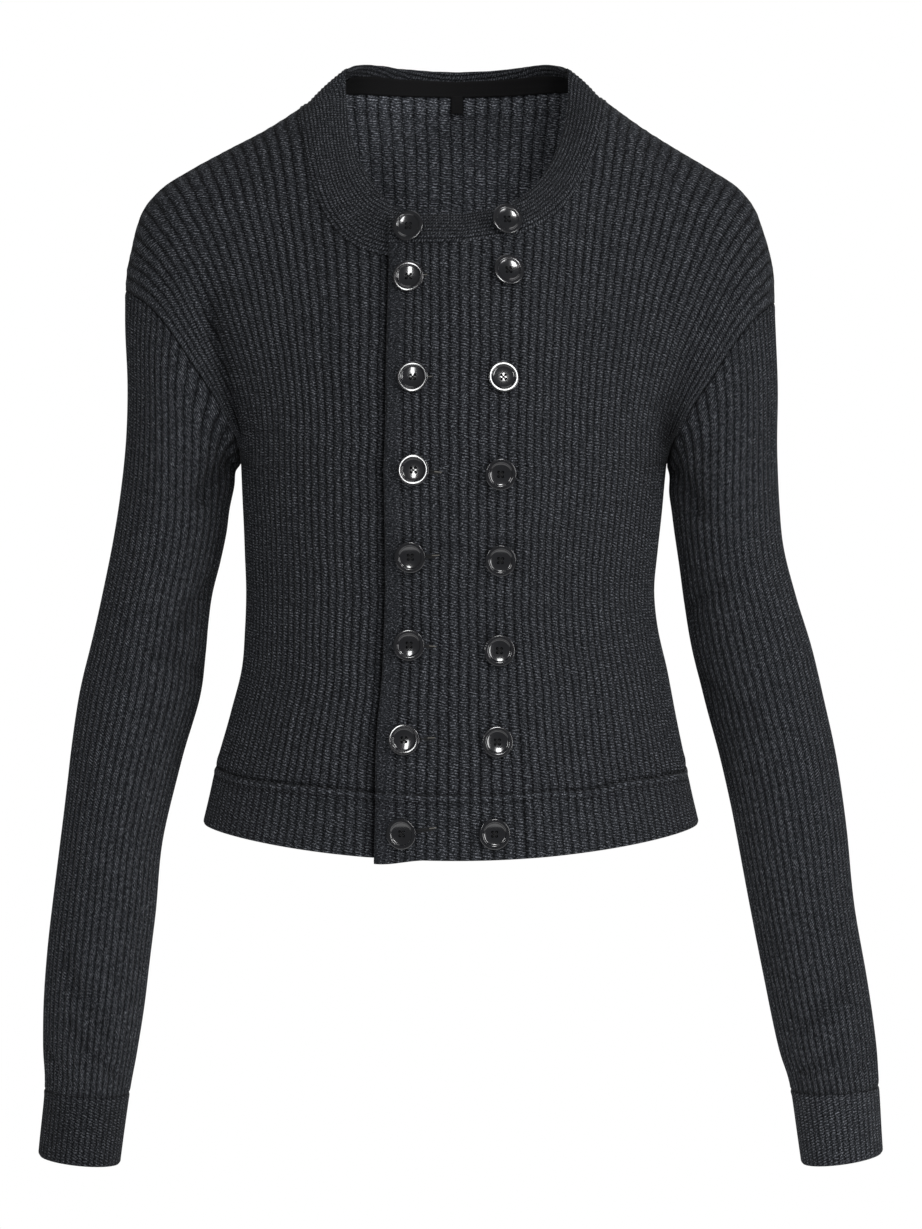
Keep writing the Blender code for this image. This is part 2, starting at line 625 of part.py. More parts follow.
def build():
    side_right = [-s for s in SIDE_S[::-1]]
    right_s = [*side_right, *neck_columns(right_front, RIGHT, NECK_TURNS)[::-1], *CENTRE_S]
    left_s = [*CENTRE_S, *neck_columns(left_front, LEFT, NECK_TURNS), *SIDE_S]
    panel("front_right", right_s, right_front)
    panel("front_left", left_s, left_front)
    panel("back", back_columns(), back, flip=True)
    hem_band("hem_band_right", right_s, right_front)
    hem_band("hem_band_left", left_s, left_front)
    hem_band("hem_band_back", back_columns(), back, flip=True)
    for side, word in ((RIGHT, "right"), (LEFT, "left")):
        above, below = CUFF_SEAM_RING - CUFF_GAP, CUFF_SEAM_RING + CUFF_GAP
        tube(f"sleeve_{word}", side, (0, 0, *SLEEVE_ROWS, above - CUFF_ROW, above), KNIT, from_armhole=True)
        tube(f"cuff_{word}", side, (below, below + CUFF_ROW, CUFF_EDGE_RING), KNIT_DARK)
    neckband("neckband")
    neck_tape("back_neck_tape")
    neck_label("neck_label")
    mesh = button_mesh()
    for index, row in enumerate(BUTTONS):
        add_button(index, mesh, row)


clear_scene()
garment = collection("button_cardigan")
cutters = collection("cutters")
build()
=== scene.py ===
# %% [markdown]
# # A double-breasted rib-knit cardigan
#
# The real one is knitted in thick charcoal heather wool: two fronts, a back and two sleeves in a broad
# rib, then hem bands, cuffs and a neckband in a finer one, all linked together at raised seams. Sixteen
# polished buttons hold it. It could be draped by simulation, but a simulation smooths away ribs that
# are only a millimetre deep. So every piece here is a grid whose columns run along the ribs. Its
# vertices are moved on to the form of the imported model, and then in and out along the surface to
# make ribs, seams and folds. The knit stitches, too fine for vertices, are in the material.

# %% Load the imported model
import math

import bmesh
import bpy
import numpy as np
from mathutils import Matrix, Vector
from mathutils.bvhtree import BVHTree


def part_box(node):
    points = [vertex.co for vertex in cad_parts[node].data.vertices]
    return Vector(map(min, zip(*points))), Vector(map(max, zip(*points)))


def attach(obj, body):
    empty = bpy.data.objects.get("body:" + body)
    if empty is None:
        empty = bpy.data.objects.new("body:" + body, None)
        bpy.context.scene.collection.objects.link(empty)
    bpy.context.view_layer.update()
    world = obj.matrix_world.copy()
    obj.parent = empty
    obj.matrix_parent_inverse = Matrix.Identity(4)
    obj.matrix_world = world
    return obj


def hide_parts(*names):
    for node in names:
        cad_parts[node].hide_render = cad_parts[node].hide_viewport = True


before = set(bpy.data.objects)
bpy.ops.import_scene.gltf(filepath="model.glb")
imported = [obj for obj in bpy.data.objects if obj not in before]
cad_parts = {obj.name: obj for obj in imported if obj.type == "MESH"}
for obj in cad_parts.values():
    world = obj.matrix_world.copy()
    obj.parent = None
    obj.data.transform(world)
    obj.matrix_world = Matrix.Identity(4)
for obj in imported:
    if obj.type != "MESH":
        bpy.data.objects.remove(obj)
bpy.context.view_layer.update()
MM = 0.001

# %% [markdown]
# ## Camera
#
# The camera looks at the front from a little above the middle, with a long lens, as a studio camera
# does for a garment on a stand. A long lens keeps the sleeves from growing towards the viewer. The
# frame is upright, so the sensor is fitted to the height and the lens follows from what the height
# of the frame takes in at that distance.

# %% Camera
def in_scene(name, data):
    """New object of some data, linked to the scene."""
    made = bpy.data.objects.new(name, data)
    bpy.context.scene.collection.objects.link(made)
    return made


TARGET = (0.00264, 0.0, -0.35937)
DISTANCE = 3.2
ELEVATION = math.radians(3)
FRAME_HEIGHT = 0.81114          # metres that the height of the frame takes in at the target
SENSOR = 36.0

camera_data = bpy.data.cameras.new("camera")
camera_data.sensor_fit = "VERTICAL"
camera_data.sensor_height = SENSOR
camera_data.lens = SENSOR * DISTANCE / FRAME_HEIGHT
camera = in_scene("camera", camera_data)
away = Vector((0, -math.cos(ELEVATION), math.sin(ELEVATION)))
camera.location = Vector(TARGET) + away * DISTANCE
camera.rotation_euler = away.to_track_quat("Z", "Y").to_euler()
bpy.context.scene.camera = camera
print("lens", round(camera_data.lens, 1))

# %% [markdown]
# ## The form of the body
#
# A knitted body is a soft tube: wide at the hem, narrow at the waist, full at the chest, and folded
# flat over the shoulders. It could be sculpted, or lofted from rings. Here one function gives the
# point of the surface for any column s (from -1 at the right side seam to 1 at the left one) and any
# height h (from -1 at the hem edge through 0 at the underarm to 1 on the shoulder line). The same
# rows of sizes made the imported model, so the cloth lies on it. All sizes are in millimetres.

# %% Rows of sizes
WALL = 2.2                 # thickness of the knit between its two rib faces
SIDE_GAP = 0.8             # space between front and back where they meet
SEAM_GAP = 0.5             # space between two pieces at a seam
FRONT, BACK = -1, 1
RIGHT, LEFT = -1, 1        # the wearer's sides, along X
MEET_CLOSE = 0.46          # share of SIDE_GAP by which front and back each close up where they meet
ALMOST = 0.9999            # s or h past which a column or row is the last one
UNDERARM_Z = -260.0
HEM_SEAM_Z = -462.0
HEM_EDGE_Z = -497.0

BODY = np.array((
    # z, front_z, back_z, right, left, front, back
    (-497, -511, -504, 168, 160, 113, 108),
    (-476, -486, -481, 163, 155, 111, 106),
    (-462, -470, -466, 160, 152, 109, 103),
    (-423, -428, -425, 149, 144, 103, 96),
    (-396, -399, -397, 142, 139, 99, 90),
    (-370, -371, -370, 140, 133, 97, 87),
    (-343, -343, -343, 139, 130, 98, 88),
    (-317, -317, -317, 140, 132, 103, 93),
    (-290, -290, -290, 141, 135, 111, 100),
    (-260, -260, -260, 142, 138, 116, 106),
    (-225, -225, -225, 144, 142, 115, 109),
), float)
SHOULDER = {
    RIGHT: np.array((
        # x, z
        (0, 20), (40, 13), (71, -2), (101, -25), (126, -41), (151, -54), (175, -67),
        (195, -80), (206, -93), (211, -106), (214, -119), (217, -133), (218, -146),
    ), float),
    LEFT: np.array((
        (0, 20), (40, 13), (70, -2), (96, -21), (124, -41), (145, -54), (167, -67),
        (186, -80), (196, -93), (201, -106), (205, -119), (208, -133), (209, -154),
    ), float),
}
NECK_POINT_ROW = 3         # row of SHOULDER where the neckline meets the shoulder line
CHEST = {
    # height on the centre line, depth
    FRONT: np.array((
        (-290, 111), (-260, 116), (-225, 115), (-160, 99), (-112, 81), (-60, 65), (0, 54), (20, 50))),
    BACK: np.array((
        (-290, 100), (-260, 106), (-225, 109), (-160, 105), (-112, 95), (-60, 79), (-25, 67), (20, 56))),
}
FAN_DELAY = 0.5            # how much later the middle ribs fan out towards the shoulder than the outer ones
ROLL_START = {FRONT: 0.55, BACK: 0.70}     # share of the height where the chest rolls in to the shoulder
SLEEVE = {
    RIGHT: np.array((
        # outer_x, outer_z, inner_x, inner_z, half_depth, middle_y
        (218, -146, 142, -260, 45, 0), (218, -172, 146, -265, 46, 0), (217, -208, 147, -275, 47, 1),
        (218, -244, 150, -290, 46, 2), (222, -280, 152, -306, 45, 3), (227, -313, 156, -325, 44, 3),
        (234, -346, 162, -350, 42, 3), (242, -380, 166, -385, 41, 2), (250, -416, 170, -416, 40, 0),
        (256, -456, 182, -457, 38, -3), (261, -502, 194, -507, 36, -7), (267, -552, 199, -558, 35, -11),
        (272, -602, 205, -609, 34, -15), (273, -642, 211, -647, 33, -17), (272, -671, 216, -674, 31, -18),
        (276, -715, 222, -721, 29, -20),
    ), float),
    LEFT: np.array((
        (209, -154, 138, -260, 45, 0), (210, -182, 140, -268, 46, 0), (211, -215, 140, -279, 47, 1),
        (211, -251, 142, -292, 46, 2), (213, -287, 144, -307, 45, 3), (216, -317, 147, -329, 44, 3),
        (224, -348, 150, -352, 42, 3), (234, -380, 155, -383, 41, 2), (242, -415, 164, -418, 40, 0),
        (251, -456, 175, -458, 38, -3), (257, -502, 185, -507, 36, -7), (262, -549, 194, -554, 35, -11),
        (270, -595, 203, -602, 34, -15), (276, -639, 212, -645, 33, -17), (278, -669, 220, -672, 31, -18),
        (281, -713, 227, -721, 29, -20),
    ), float),
}
ARMHOLE_BOW = {RIGHT: 12.0, LEFT: 9.0}     # how far the armhole bows out of a straight line, mm
BOW_RINGS = 3.0            # rings over which that bow fades
FREE_EDGE = -0.225         # s of the left front's edge, on top
HIDDEN_EDGE = 0.178        # s of the right front's edge, below it
LAP_RAISE = 3.4            # how far the left front stands out over the right one, mm
LAP_FULL, LAP_END = 0.205, 0.36            # s up to which it stands out in full, and where it ends
STEP = 0.001               # step in s, h or w for reading a surface's direction

# Troughs of the form, then the narrow creases that the cloth folds into inside and beside them.
TROUGHS = (
    # face, side, upper x, upper z, lower x, lower z, depth, half width
    (FRONT, RIGHT, 160, -152, 141, -232, 8.0, 11.0),
    (FRONT, LEFT, 150, -175, 137, -235, 6.0, 13.0),
    (BACK, RIGHT, 162, -160, 143, -232, 6.5, 13.0),
    (BACK, LEFT, 155, -165, 139, -232, 6.5, 13.0),
    (FRONT, RIGHT, 161, -160, 141, -238, 4.6, 3.2),
    (FRONT, RIGHT, 171, -150, 160, -176, 1.4, 4.5),
    (FRONT, LEFT, 150, -188, 138, -240, 2.2, 4.6),
    (FRONT, LEFT, 163, -170, 152, -206, 1.2, 6.0),
    (FRONT, RIGHT, 136, -262, 118, -300, 1.6, 9.0),
    (FRONT, LEFT, 132, -262, 116, -296, 1.5, 9.0),
    (BACK, RIGHT, 158, -172, 142, -238, 2.6, 4.5),
    (BACK, LEFT, 153, -178, 139, -240, 2.4, 5.0),
    (BACK, RIGHT, 120, -330, 92, -352, 1.7, 9.0),
    (BACK, LEFT, 118, -338, 84, -366, 1.6, 10.0),
    (BACK, RIGHT, 60, -120, 88, -190, 1.3, 12.0),
    (BACK, LEFT, 66, -128, 92, -200, 1.3, 12.0),
)
TROUGH_FADE = 0.10         # s over which they fade at a side seam
TROUGH_LIMIT = 0.35        # share of the body's half depth that they may press in
print(len(BODY), "body sections,", len(SLEEVE[RIGHT]), "rings a sleeve,", len(TROUGHS), "troughs and creases")


# %% Surface of the body
def curve(keys, values, at):
    """Smooth curve through rows of values at rising keys, read at `at`."""
    keys = np.asarray(keys, float)
    values = np.asarray(values, float)
    slopes = np.gradient(values, keys, axis=0)
    at = np.asarray(at, float)
    i = np.clip(np.searchsorted(keys, at) - 1, 0, len(keys) - 2)
    step = keys[i + 1] - keys[i]
    u = (at - keys[i]) / step
    if values.ndim > 1:
        u, step = u[..., None], step[..., None]
    h0 = 2 * u**3 - 3 * u**2 + 1
    h1 = u**3 - 2 * u**2 + u
    h2 = 3 * u**2 - 2 * u**3
    h3 = u**3 - u**2
    return h0 * values[i] + h1 * step * slopes[i] + h2 * values[i + 1] + h3 * step * slopes[i + 1]


def travelled(points):
    """Length of a line from its first point to each of its points."""
    return np.concatenate(([0.0], np.cumsum(np.linalg.norm(np.diff(points, axis=0), axis=-1))))


def along(points):
    """Share of the length of a line at each of its points."""
    reach = travelled(points)
    return reach / reach[-1]


def smooth(t):
    """0 below 0, 1 above 1, and a soft rise between."""
    t = np.clip(t, 0, 1)
    return t * t * (3 - 2 * t)


def near(distance, width):
    """1 where distance is 0, falling softly to 0 past width."""
    return np.exp(-(distance / width) ** 2)


def unit(v):
    return v / np.linalg.norm(v, axis=-1, keepdims=True)


SHOULDER_SHARE = {side: along(SHOULDER[side]) for side in (RIGHT, LEFT)}
NECK_POINT_S = {side: SHOULDER_SHARE[side][NECK_POINT_ROW] for side in (RIGHT, LEFT)}


def ring(side, k, turn):
    """Point of a sleeve ring. turn is 0 at the inner edge, pi/2 in front and pi at the outer edge."""
    k, turn = np.broadcast_arrays(np.asarray(k, float), np.asarray(turn, float))
    outer_x, outer_z, inner_x, inner_z, half_depth, middle_y = np.moveaxis(
        curve(np.arange(len(SLEEVE[side])), SLEEVE[side], k), -1, 0)
    share = (1 - np.cos(turn)) / 2
    across_x, across_z = outer_x - inner_x, outer_z - inner_z
    chord = np.hypot(across_x, across_z)
    fade = np.clip(1 - k / BOW_RINGS, 0, 1) ** 2
    bow = ARMHOLE_BOW[side] * fade * (1 - (2 * share - 1) ** 4)
    x = inner_x + share * across_x - bow * across_z / chord
    z = inner_z + share * across_z + bow * across_x / chord
    return np.stack((side * x, middle_y - half_depth * np.sin(turn), z), -1)


def lower_body(s, h, face):
    """Points of the body below the underarm."""
    z_side = UNDERARM_Z + h * (UNDERARM_Z - HEM_EDGE_Z)
    z, front_z, back_z, right, left, front, behind = np.moveaxis(curve(BODY[:, 0], BODY, z_side), -1, 0)
    angle = np.abs(s) * math.pi / 2
    half = np.where(s < 0, right, left)
    centre_z, depth = (front_z, front) if face == FRONT else (back_z, behind)
    x = np.sign(s) * half * np.sin(angle)
    return np.stack((x, face * depth * np.cos(angle), z + (centre_z - z) * np.cos(angle) ** 2), -1)


def upper_body(s, v, face):
    """Points of the body above the underarm, v from 0 there to 1 on the shoulder line."""
    a = np.abs(s)
    turn = math.pi * v
    share = (1 - np.cos(turn)) / 2
    x, z, reach = np.zeros_like(a), np.zeros_like(a), np.zeros_like(a)
    for side in (RIGHT, LEFT):
        top = curve(SHOULDER_SHARE[side], SHOULDER[side], a)
        edge = ring(side, 0.0, turn)
        inner, outer = SLEEVE[side][0, 2:4], SLEEVE[side][0, 0:2]
        bow_x = side * edge[..., 0] - (inner[0] + share * (outer[0] - inner[0]))
        bow_z = edge[..., 2] - (inner[1] + share * (outer[1] - inner[1]))
        low_x = inner[0] * np.sin(a * math.pi / 2)
        lean = share ** (1 + FAN_DELAY * (1 - a**4))
        here = (s < 0) if side == RIGHT else (s >= 0)
        x = np.where(here, side * (low_x + lean * (top[..., 0] - low_x) + a**2 * bow_x), x)
        z = np.where(here, (1 - share) * UNDERARM_Z + share * top[..., 1] + a**2 * bow_z, z)
        reach = np.where(here, -edge[..., 1], reach)
    centre_z = UNDERARM_Z + share * (SHOULDER[LEFT][0, 1] - UNDERARM_Z)
    start = ROLL_START[face]
    roll = np.sqrt(np.clip(1 - (np.clip(share - start, 0, 1) / (1 - start)) ** 2, 0, 1))
    depth = curve(CHEST[face][:, 0], CHEST[face][:, 1], centre_z) * roll
    return np.stack((x, face * (depth * np.cos(a * math.pi / 2) + reach * a**3), z), -1)


def line_distance(x, z, x0, z0, x1, z1):
    """Distance from a place to the line between two points."""
    run_x, run_z = x1 - x0, z1 - z0
    t = np.clip(((x - x0) * run_x + (z - z0) * run_z) / (run_x**2 + run_z**2), 0, 1)
    return np.hypot(x - x0 - t * run_x, z - z0 - t * run_z)


def trough_depth(x, z, face):
    """How far the troughs and creases of one face are pressed in, in mm."""
    total = np.zeros_like(x)
    for at_face, side, x0, z0, x1, z1, depth, width in TROUGHS:
        if at_face == face:
            total += depth * near(line_distance(x, z, side * x0, z0, side * x1, z1), width)
    return total


def body(s, h, face):
    """Outer surface of the body at column s and height h."""
    s, h = np.broadcast_arrays(np.asarray(s, float), np.asarray(h, float))
    low = lower_body(s, np.minimum(h, 0), face)
    high = upper_body(s, np.maximum(h, 0), face)
    point = np.where((h < 0)[..., None], low, high)
    room = np.abs(point[..., 1])
    pressed = trough_depth(point[..., 0], point[..., 2], face)
    fade = smooth((1 - np.abs(s)) / TROUGH_FADE)
    pressed = np.minimum(pressed, TROUGH_LIMIT * room) * fade
    point[..., 1] += face * (SIDE_GAP / 2 - pressed)
    return point


print("chest front", body(0.0, 0.0, FRONT).round(1), "shoulder point", body(-1.0, 1.0, FRONT).round(1))


# %% [markdown]
# ## Fronts and back
#
# The right front is plain. The left front lies on top of it, so it stands out by a knit's thickness
# where the two lap, and comes back to the plain form beyond. Lifting along the surface's own normal
# keeps the lap even where the chest curves.

# %% Surfaces of the two fronts and the back
def raised(s, h, amount):
    """Points of the front lifted outward by an amount in mm."""
    across = body(s + STEP, h, FRONT) - body(s - STEP, h, FRONT)
    upper = np.minimum(h + STEP, 1 - STEP)
    up = body(s, upper, FRONT) - body(s, upper - 2 * STEP, FRONT)
    return body(s, h, FRONT) + unit(np.cross(across, up)) * np.asarray(amount)[..., None]


def lap(s):
    """How far the left front stands out at s."""
    return LAP_RAISE * smooth((LAP_END - s) / (LAP_END - LAP_FULL))


def right_front(s, h):
    return body(s, h, FRONT)


def left_front(s, h):
    return raised(s, h, lap(s))


def back(s, h):
    return body(s, h, BACK)


def outward(piece, s, h):
    """Outward direction of a surface."""
    s, h = np.broadcast_arrays(np.asarray(s, float), np.asarray(h, float))
    across = piece(np.minimum(s + STEP, 1), h) - piece(np.maximum(s - STEP, -1), h)
    upper = np.clip(h + STEP, -1, 1 - STEP)
    up = piece(s, upper) - piece(s, upper - 2 * STEP)
    direction = unit(np.cross(across, up))
    return -direction if piece is back else direction


print("left front stands out", round(float(lap(0.0)), 2), "mm at the lap")

# %% [markdown]
# ## The neckline
#
# The neckline is scooped: a half superellipse over the columns, deeper in front than behind. Each
# column of a panel ends where it meets that line, and the neckband is sewn on there. The height of a
# column's end is found by halving, because the surface has no formula that gives it at once.

# %% Where each column ends
NECKLINE = {RIGHT: (-124.0, 3.6), LEFT: (-115.0, 2.4)}      # bottom z, exponent
BACK_NECKLINE = (-27.0, 2.0)
LOWEST_NECK = 0.05         # h below which no column ends
HALVINGS = 26
NECK_FOUND = {}            # heights found before, by piece and columns


def neck_side(s, piece):
    """Side of the neckline that column s of a piece ends on."""
    if piece is back:
        return np.where(s < 0, RIGHT, LEFT)
    return np.full(np.shape(s), RIGHT if piece is right_front else LEFT)


def neck_share(s, piece):
    """0 in the middle of the neckline, 1 at the shoulder point and beyond."""
    own = neck_side(s, piece)
    return np.clip(own * s / np.where(own == RIGHT, NECK_POINT_S[RIGHT], NECK_POINT_S[LEFT]), 0, 1)


def neckline(side, piece):
    """Bottom and exponent of the neckline over one side of a piece."""
    return BACK_NECKLINE if piece is back else NECKLINE[side]


def neck_h(s, piece):
    """h at which column s of a piece ends, found once for the same columns."""
    s = np.asarray(s, float)
    key = (piece.__name__, s.tobytes())
    if key not in NECK_FOUND:
        NECK_FOUND[key] = find_neck_h(s, piece)
    return NECK_FOUND[key]


def find_neck_h(s, piece):
    """h at which each column rises past the neckline, found by halving."""
    share = neck_share(s, piece)
    own = neck_side(s, piece)
    neck_z = np.zeros_like(s)
    for side in (RIGHT, LEFT):
        bottom, power = neckline(side, piece)
        top = SHOULDER[side][NECK_POINT_ROW, 1]
        neck_z = np.where(own == side, top + (bottom - top) * (1 - share**power) ** (1 / power), neck_z)
    low, high = np.full_like(s, LOWEST_NECK), np.ones_like(s)
    for _ in range(HALVINGS):
        middle = (low + high) / 2
        above = body(s, middle, BACK if piece is back else FRONT)[..., 2] > neck_z
        high, low = np.where(above, middle, high), np.where(above, low, middle)
    return np.where(share < 1, (low + high) / 2, 1.0)


def neck_seam(s, piece):
    """Points of the neckline at columns s."""
    return piece(np.asarray(s, float), neck_h(s, piece))


print("front neckline ends at h", neck_h(np.array((-0.2, 0.0, 0.2)), left_front).round(3))

# %% [markdown]
# ## Colours and a node helper
#
# Colours are written as sRGB hex values, as a colour picker shows them, and turned to the linear
# values that shaders work in. One helper adds a node, sets its values and joins its inputs, so a
# material reads as a list of steps.

# %% Colour and node helpers
SOFT = {"interpolation_type": "SMOOTHSTEP"}        # makes a Map Range node rise softly
COLOURS = {"data_type": "RGBA"}    # makes a Mix node mix colours: 6 and 7 are its inputs, 2 is its output


def linear(hex_colour):
    """Linear RGBA of an sRGB hex colour."""
    parts = [int(hex_colour[i:i + 2], 16) / 255 for i in (1, 3, 5)]
    return (*(c / 12.92 if c <= 0.04045 else ((c + 0.055) / 1.055) ** 2.4 for c in parts), 1.0)


def new_material(name):
    """A material, its node tree and its Principled shader."""
    made = bpy.data.materials.new(name)
    made.use_nodes = True
    return made, made.node_tree, made.node_tree.nodes["Principled BSDF"]


def node(tree, kind, inputs=(), **settings):
    """Adds a node. inputs, in order or by socket, are values, outputs or nodes, which give their first one."""
    made = tree.nodes.new("ShaderNode" + kind)
    for key, value in settings.items():
        setattr(made, key, value)
    for key, value in dict(inputs if isinstance(inputs, dict) else enumerate(inputs)).items():
        value = value.outputs[0] if isinstance(value, bpy.types.Node) else value
        if isinstance(value, bpy.types.NodeSocket):
            tree.links.new(value, made.inputs[key])
        else:
            made.inputs[key].default_value = value
    return made


def half_sine(tree, value):
    """Node that swings between 0 and 1 as value runs on by 2 pi."""
    return node(tree, "Math", (node(tree, "Math", (value,), operation="SINE"), 0.5, 0.5),
                operation="MULTIPLY_ADD")


def finish_shader(tree, shader, colour, values, height=None, strength=0.5, distance=0.0002):
    """Joins a colour to the shader, and a bump if there is a height, and sets its other values."""
    tree.links.new(colour, shader.inputs["Base Color"])
    if height is not None:
        bump = node(tree, "Bump", {"Height": height, "Strength": strength, "Distance": distance})
        tree.links.new(bump.outputs[0], shader.inputs["Normal"])
    for socket, value in values.items():
        shader.inputs[socket].default_value = value


print("charcoal in linear values", [round(c, 4) for c in linear("#3a3c40")])

# %% [markdown]
# ## Material: charcoal heather wool, rib knit
#
# Heather yarn is spun from fibres dyed in several greys, so it is never one colour: dark, middle and
# pale flecks lie along each stitch. Wool is matt and fuzzy, which a high roughness and a faint sheen
# give. The knit shows stitches as slanting strokes on each rib and as a dotted dark line in each
# groove, where the next stitch dips out of the light. The pattern reads the piece's own UV map, whose
# first number counts ribs and whose second is the length along a rib in millimetres, so it follows
# every bend of the cloth.

# %% Rib-knit pattern
STITCH = 1.9               # height of one stitch, mm
RIB = 5.6                  # usual width of one rib, mm
FIRST_RIB = 4              # rib count given to a piece's first rib; only the left front's edge counts lower
CALM = (0.5, 2.1)          # ribs from the free edge over which its felted surface turns to clear ribs
GROOVE_RANGE = (0.37, 0.475)       # distance from a rib's middle, in ribs, over which its groove begins
CROWN_RANGE = (0.12, 0.42)         # distance over which its crown ends; the crown is painted paler as painted light on the rib's top
ROW_RISE = 0.8             # rise of a row of stitches across a rib, in stitches
WANDER_SIZE = 3.2          # size of the patches in which grooves and rows wander together, mm
GROOVE_WANDER, ROW_WANDER = 0.24, 0.9      # how far they wander, in ribs and in stitches


def stitches(tree, rib, shift):
    """The knit's pattern: flat place in mm, groove, crown, wave of the stitches, how clear the ribs are."""
    place = node(tree, "SeparateXYZ", (node(tree, "UVMap", uv_map="knit"),))
    count, length = place.outputs[0], place.outputs[1]
    flat = node(tree, "CombineXYZ", (node(tree, "Math", (count, rib), operation="MULTIPLY"), length))
    # A little wander keeps grooves and stitches from being ruled lines.
    wander = node(tree, "TexNoise", {"Vector": flat, "Scale": 1 / WANDER_SIZE, "Detail": 1.0})
    aside = node(tree, "Math", (wander, 0.5), operation="SUBTRACT")
    shifted = node(tree, "Math", (count, shift), operation="ADD")
    shifted = node(tree, "Math", (aside, GROOVE_WANDER, shifted), operation="MULTIPLY_ADD")
    in_rib = node(tree, "Math", (shifted,), operation="FRACT")
    off_centre = node(tree, "Math", (in_rib, 0.5), operation="SUBTRACT")
    off_centre = node(tree, "Math", (off_centre,), operation="ABSOLUTE")
    clear = node(tree, "MapRange", (count, *CALM), **SOFT)
    in_groove = node(tree, "MapRange", (off_centre, *GROOVE_RANGE), **SOFT)
    in_groove = node(tree, "Math", (in_groove, clear), operation="MULTIPLY")
    on_crown = node(tree, "MapRange", (off_centre, *CROWN_RANGE, 1.0, 0.0), **SOFT)
    on_crown = node(tree, "Math", (on_crown, clear), operation="MULTIPLY")
    # Rows of stitches rise towards the middle of a rib, so each one is a slanting stroke.
    row = node(tree, "Math", (length, STITCH), operation="DIVIDE")
    row = node(tree, "Math", (in_rib, ROW_RISE, row), operation="MULTIPLY_ADD")
    row = node(tree, "Math", (wander, ROW_WANDER, row), operation="MULTIPLY_ADD")
    wave = half_sine(tree, node(tree, "Math", (row, 2 * math.pi), operation="MULTIPLY"))
    return flat, in_groove, on_crown, wave, clear


print(round(RIB / STITCH, 1), "stitches to a rib's width")

# %% Heather yarn
DASH = 1.0                 # size of the short dashes that heather fibres make, mm, drawn coarser than real
DASH_TURN = 0.35           # turn of the dashes, in radians
DASH_SQUEEZE = (0.7, 1.15, 1.0)    # they are longer across the rib than along it
FIBRE = 0.75               # size of the finest flecks, mm, drawn coarser than real
PALE_FROM_TO = (0.30, 0.72)        # noise over which a dash or a fleck turns pale
DASH_SHARE, FIBRE_SHARE, STITCH_SHARE = 0.34, 0.30, 0.24      # what each adds to how pale the yarn is
FELTED_ADDS, CLEAR_ADDS = 0.18, 0.02       # what the felted edge adds, and what clear ribs do
MOTTLE = 8.0               # size of the soft clouds of lighter and darker yarn, mm
CLOUDS = (0.3, 0.7)        # noise over which they turn from dark to light
CLOUD_DARK, CLOUD_LIGHT = 0.78, 1.02


def paleness(tree, flat, on_crown, wave, clear, crown):
    """How pale the yarn is, from 0 to about 1."""
    # Fibres show as dashes that lie across the rib, because each stitch's yarn turns there.
    turned = node(tree, "Mapping", {0: flat, "Rotation": (0.0, 0.0, DASH_TURN), "Scale": DASH_SQUEEZE})
    dashes = node(tree, "TexNoise", {"Vector": turned, "Scale": 1 / DASH, "Detail": 1.0, "Distortion": 0.3})
    dashes = node(tree, "MapRange", (dashes, *PALE_FROM_TO), **SOFT)
    fibres = node(tree, "TexNoise", {"Vector": flat, "Scale": 1 / FIBRE, "Detail": 1.0, "Roughness": 0.6})
    fibres = node(tree, "MapRange", (fibres, *PALE_FROM_TO), **SOFT)
    strokes = node(tree, "Math", (wave, clear), operation="MULTIPLY")
    felted = node(tree, "MapRange", (clear, 0.0, 1.0, FELTED_ADDS, CLEAR_ADDS), **SOFT)
    pale = node(tree, "Math", (dashes, DASH_SHARE), operation="MULTIPLY")
    pale = node(tree, "Math", (fibres, FIBRE_SHARE, pale), operation="MULTIPLY_ADD")
    pale = node(tree, "Math", (strokes, STITCH_SHARE, pale), operation="MULTIPLY_ADD")
    pale = node(tree, "Math", (pale, felted), operation="ADD")
    # Painted light: the crown of each rib is made paler, where light falls on its top.
    return node(tree, "Math", (on_crown, crown, pale), operation="MULTIPLY_ADD")


def brightness(tree, lighter):
    """Grey to multiply the yarn by: soft clouds, and the piece's painted shade and light from its shade
    attribute.
    """
    where = node(tree, "TexCoord").outputs["Object"]
    clouds = node(tree, "TexNoise", {"Vector": where, "Scale": 1 / (MOTTLE * MM), "Detail": 3.0,
                                     "Roughness": 0.6})
    clouds = node(tree, "MapRange", (clouds, *CLOUDS, CLOUD_DARK * lighter, CLOUD_LIGHT * lighter), **SOFT)
    shade = node(tree, "Attribute", attribute_name="shade")
    grey = node(tree, "Math", (clouds, shade.outputs["Fac"]), operation="MULTIPLY")
    return node(tree, "CombineColor", (grey, grey, grey))


print("clouds of", MOTTLE, "mm")

# %% Rib-knit materials
YARN_DARK, YARN, YARN_PALE = "#101113", "#2c2e32", "#7f8289"
# GROOVE_DARK is painted shade: the dark line in each groove stands for the shadow where the stitch dips.
GROOVE_DARK = "#050506"
DARK_TO_YARN, YARN_TO_PALE = (0.18, 0.56), (0.55, 0.95)       # paleness over which the yarn's greys change
DOT_GAP = 0.6              # how much the painted shade in a groove breaks up into dots
WOOL = {"Roughness": 0.95, "Specular IOR Level": 0.06, "Sheen Weight": 0.03, "Sheen Roughness": 0.5}


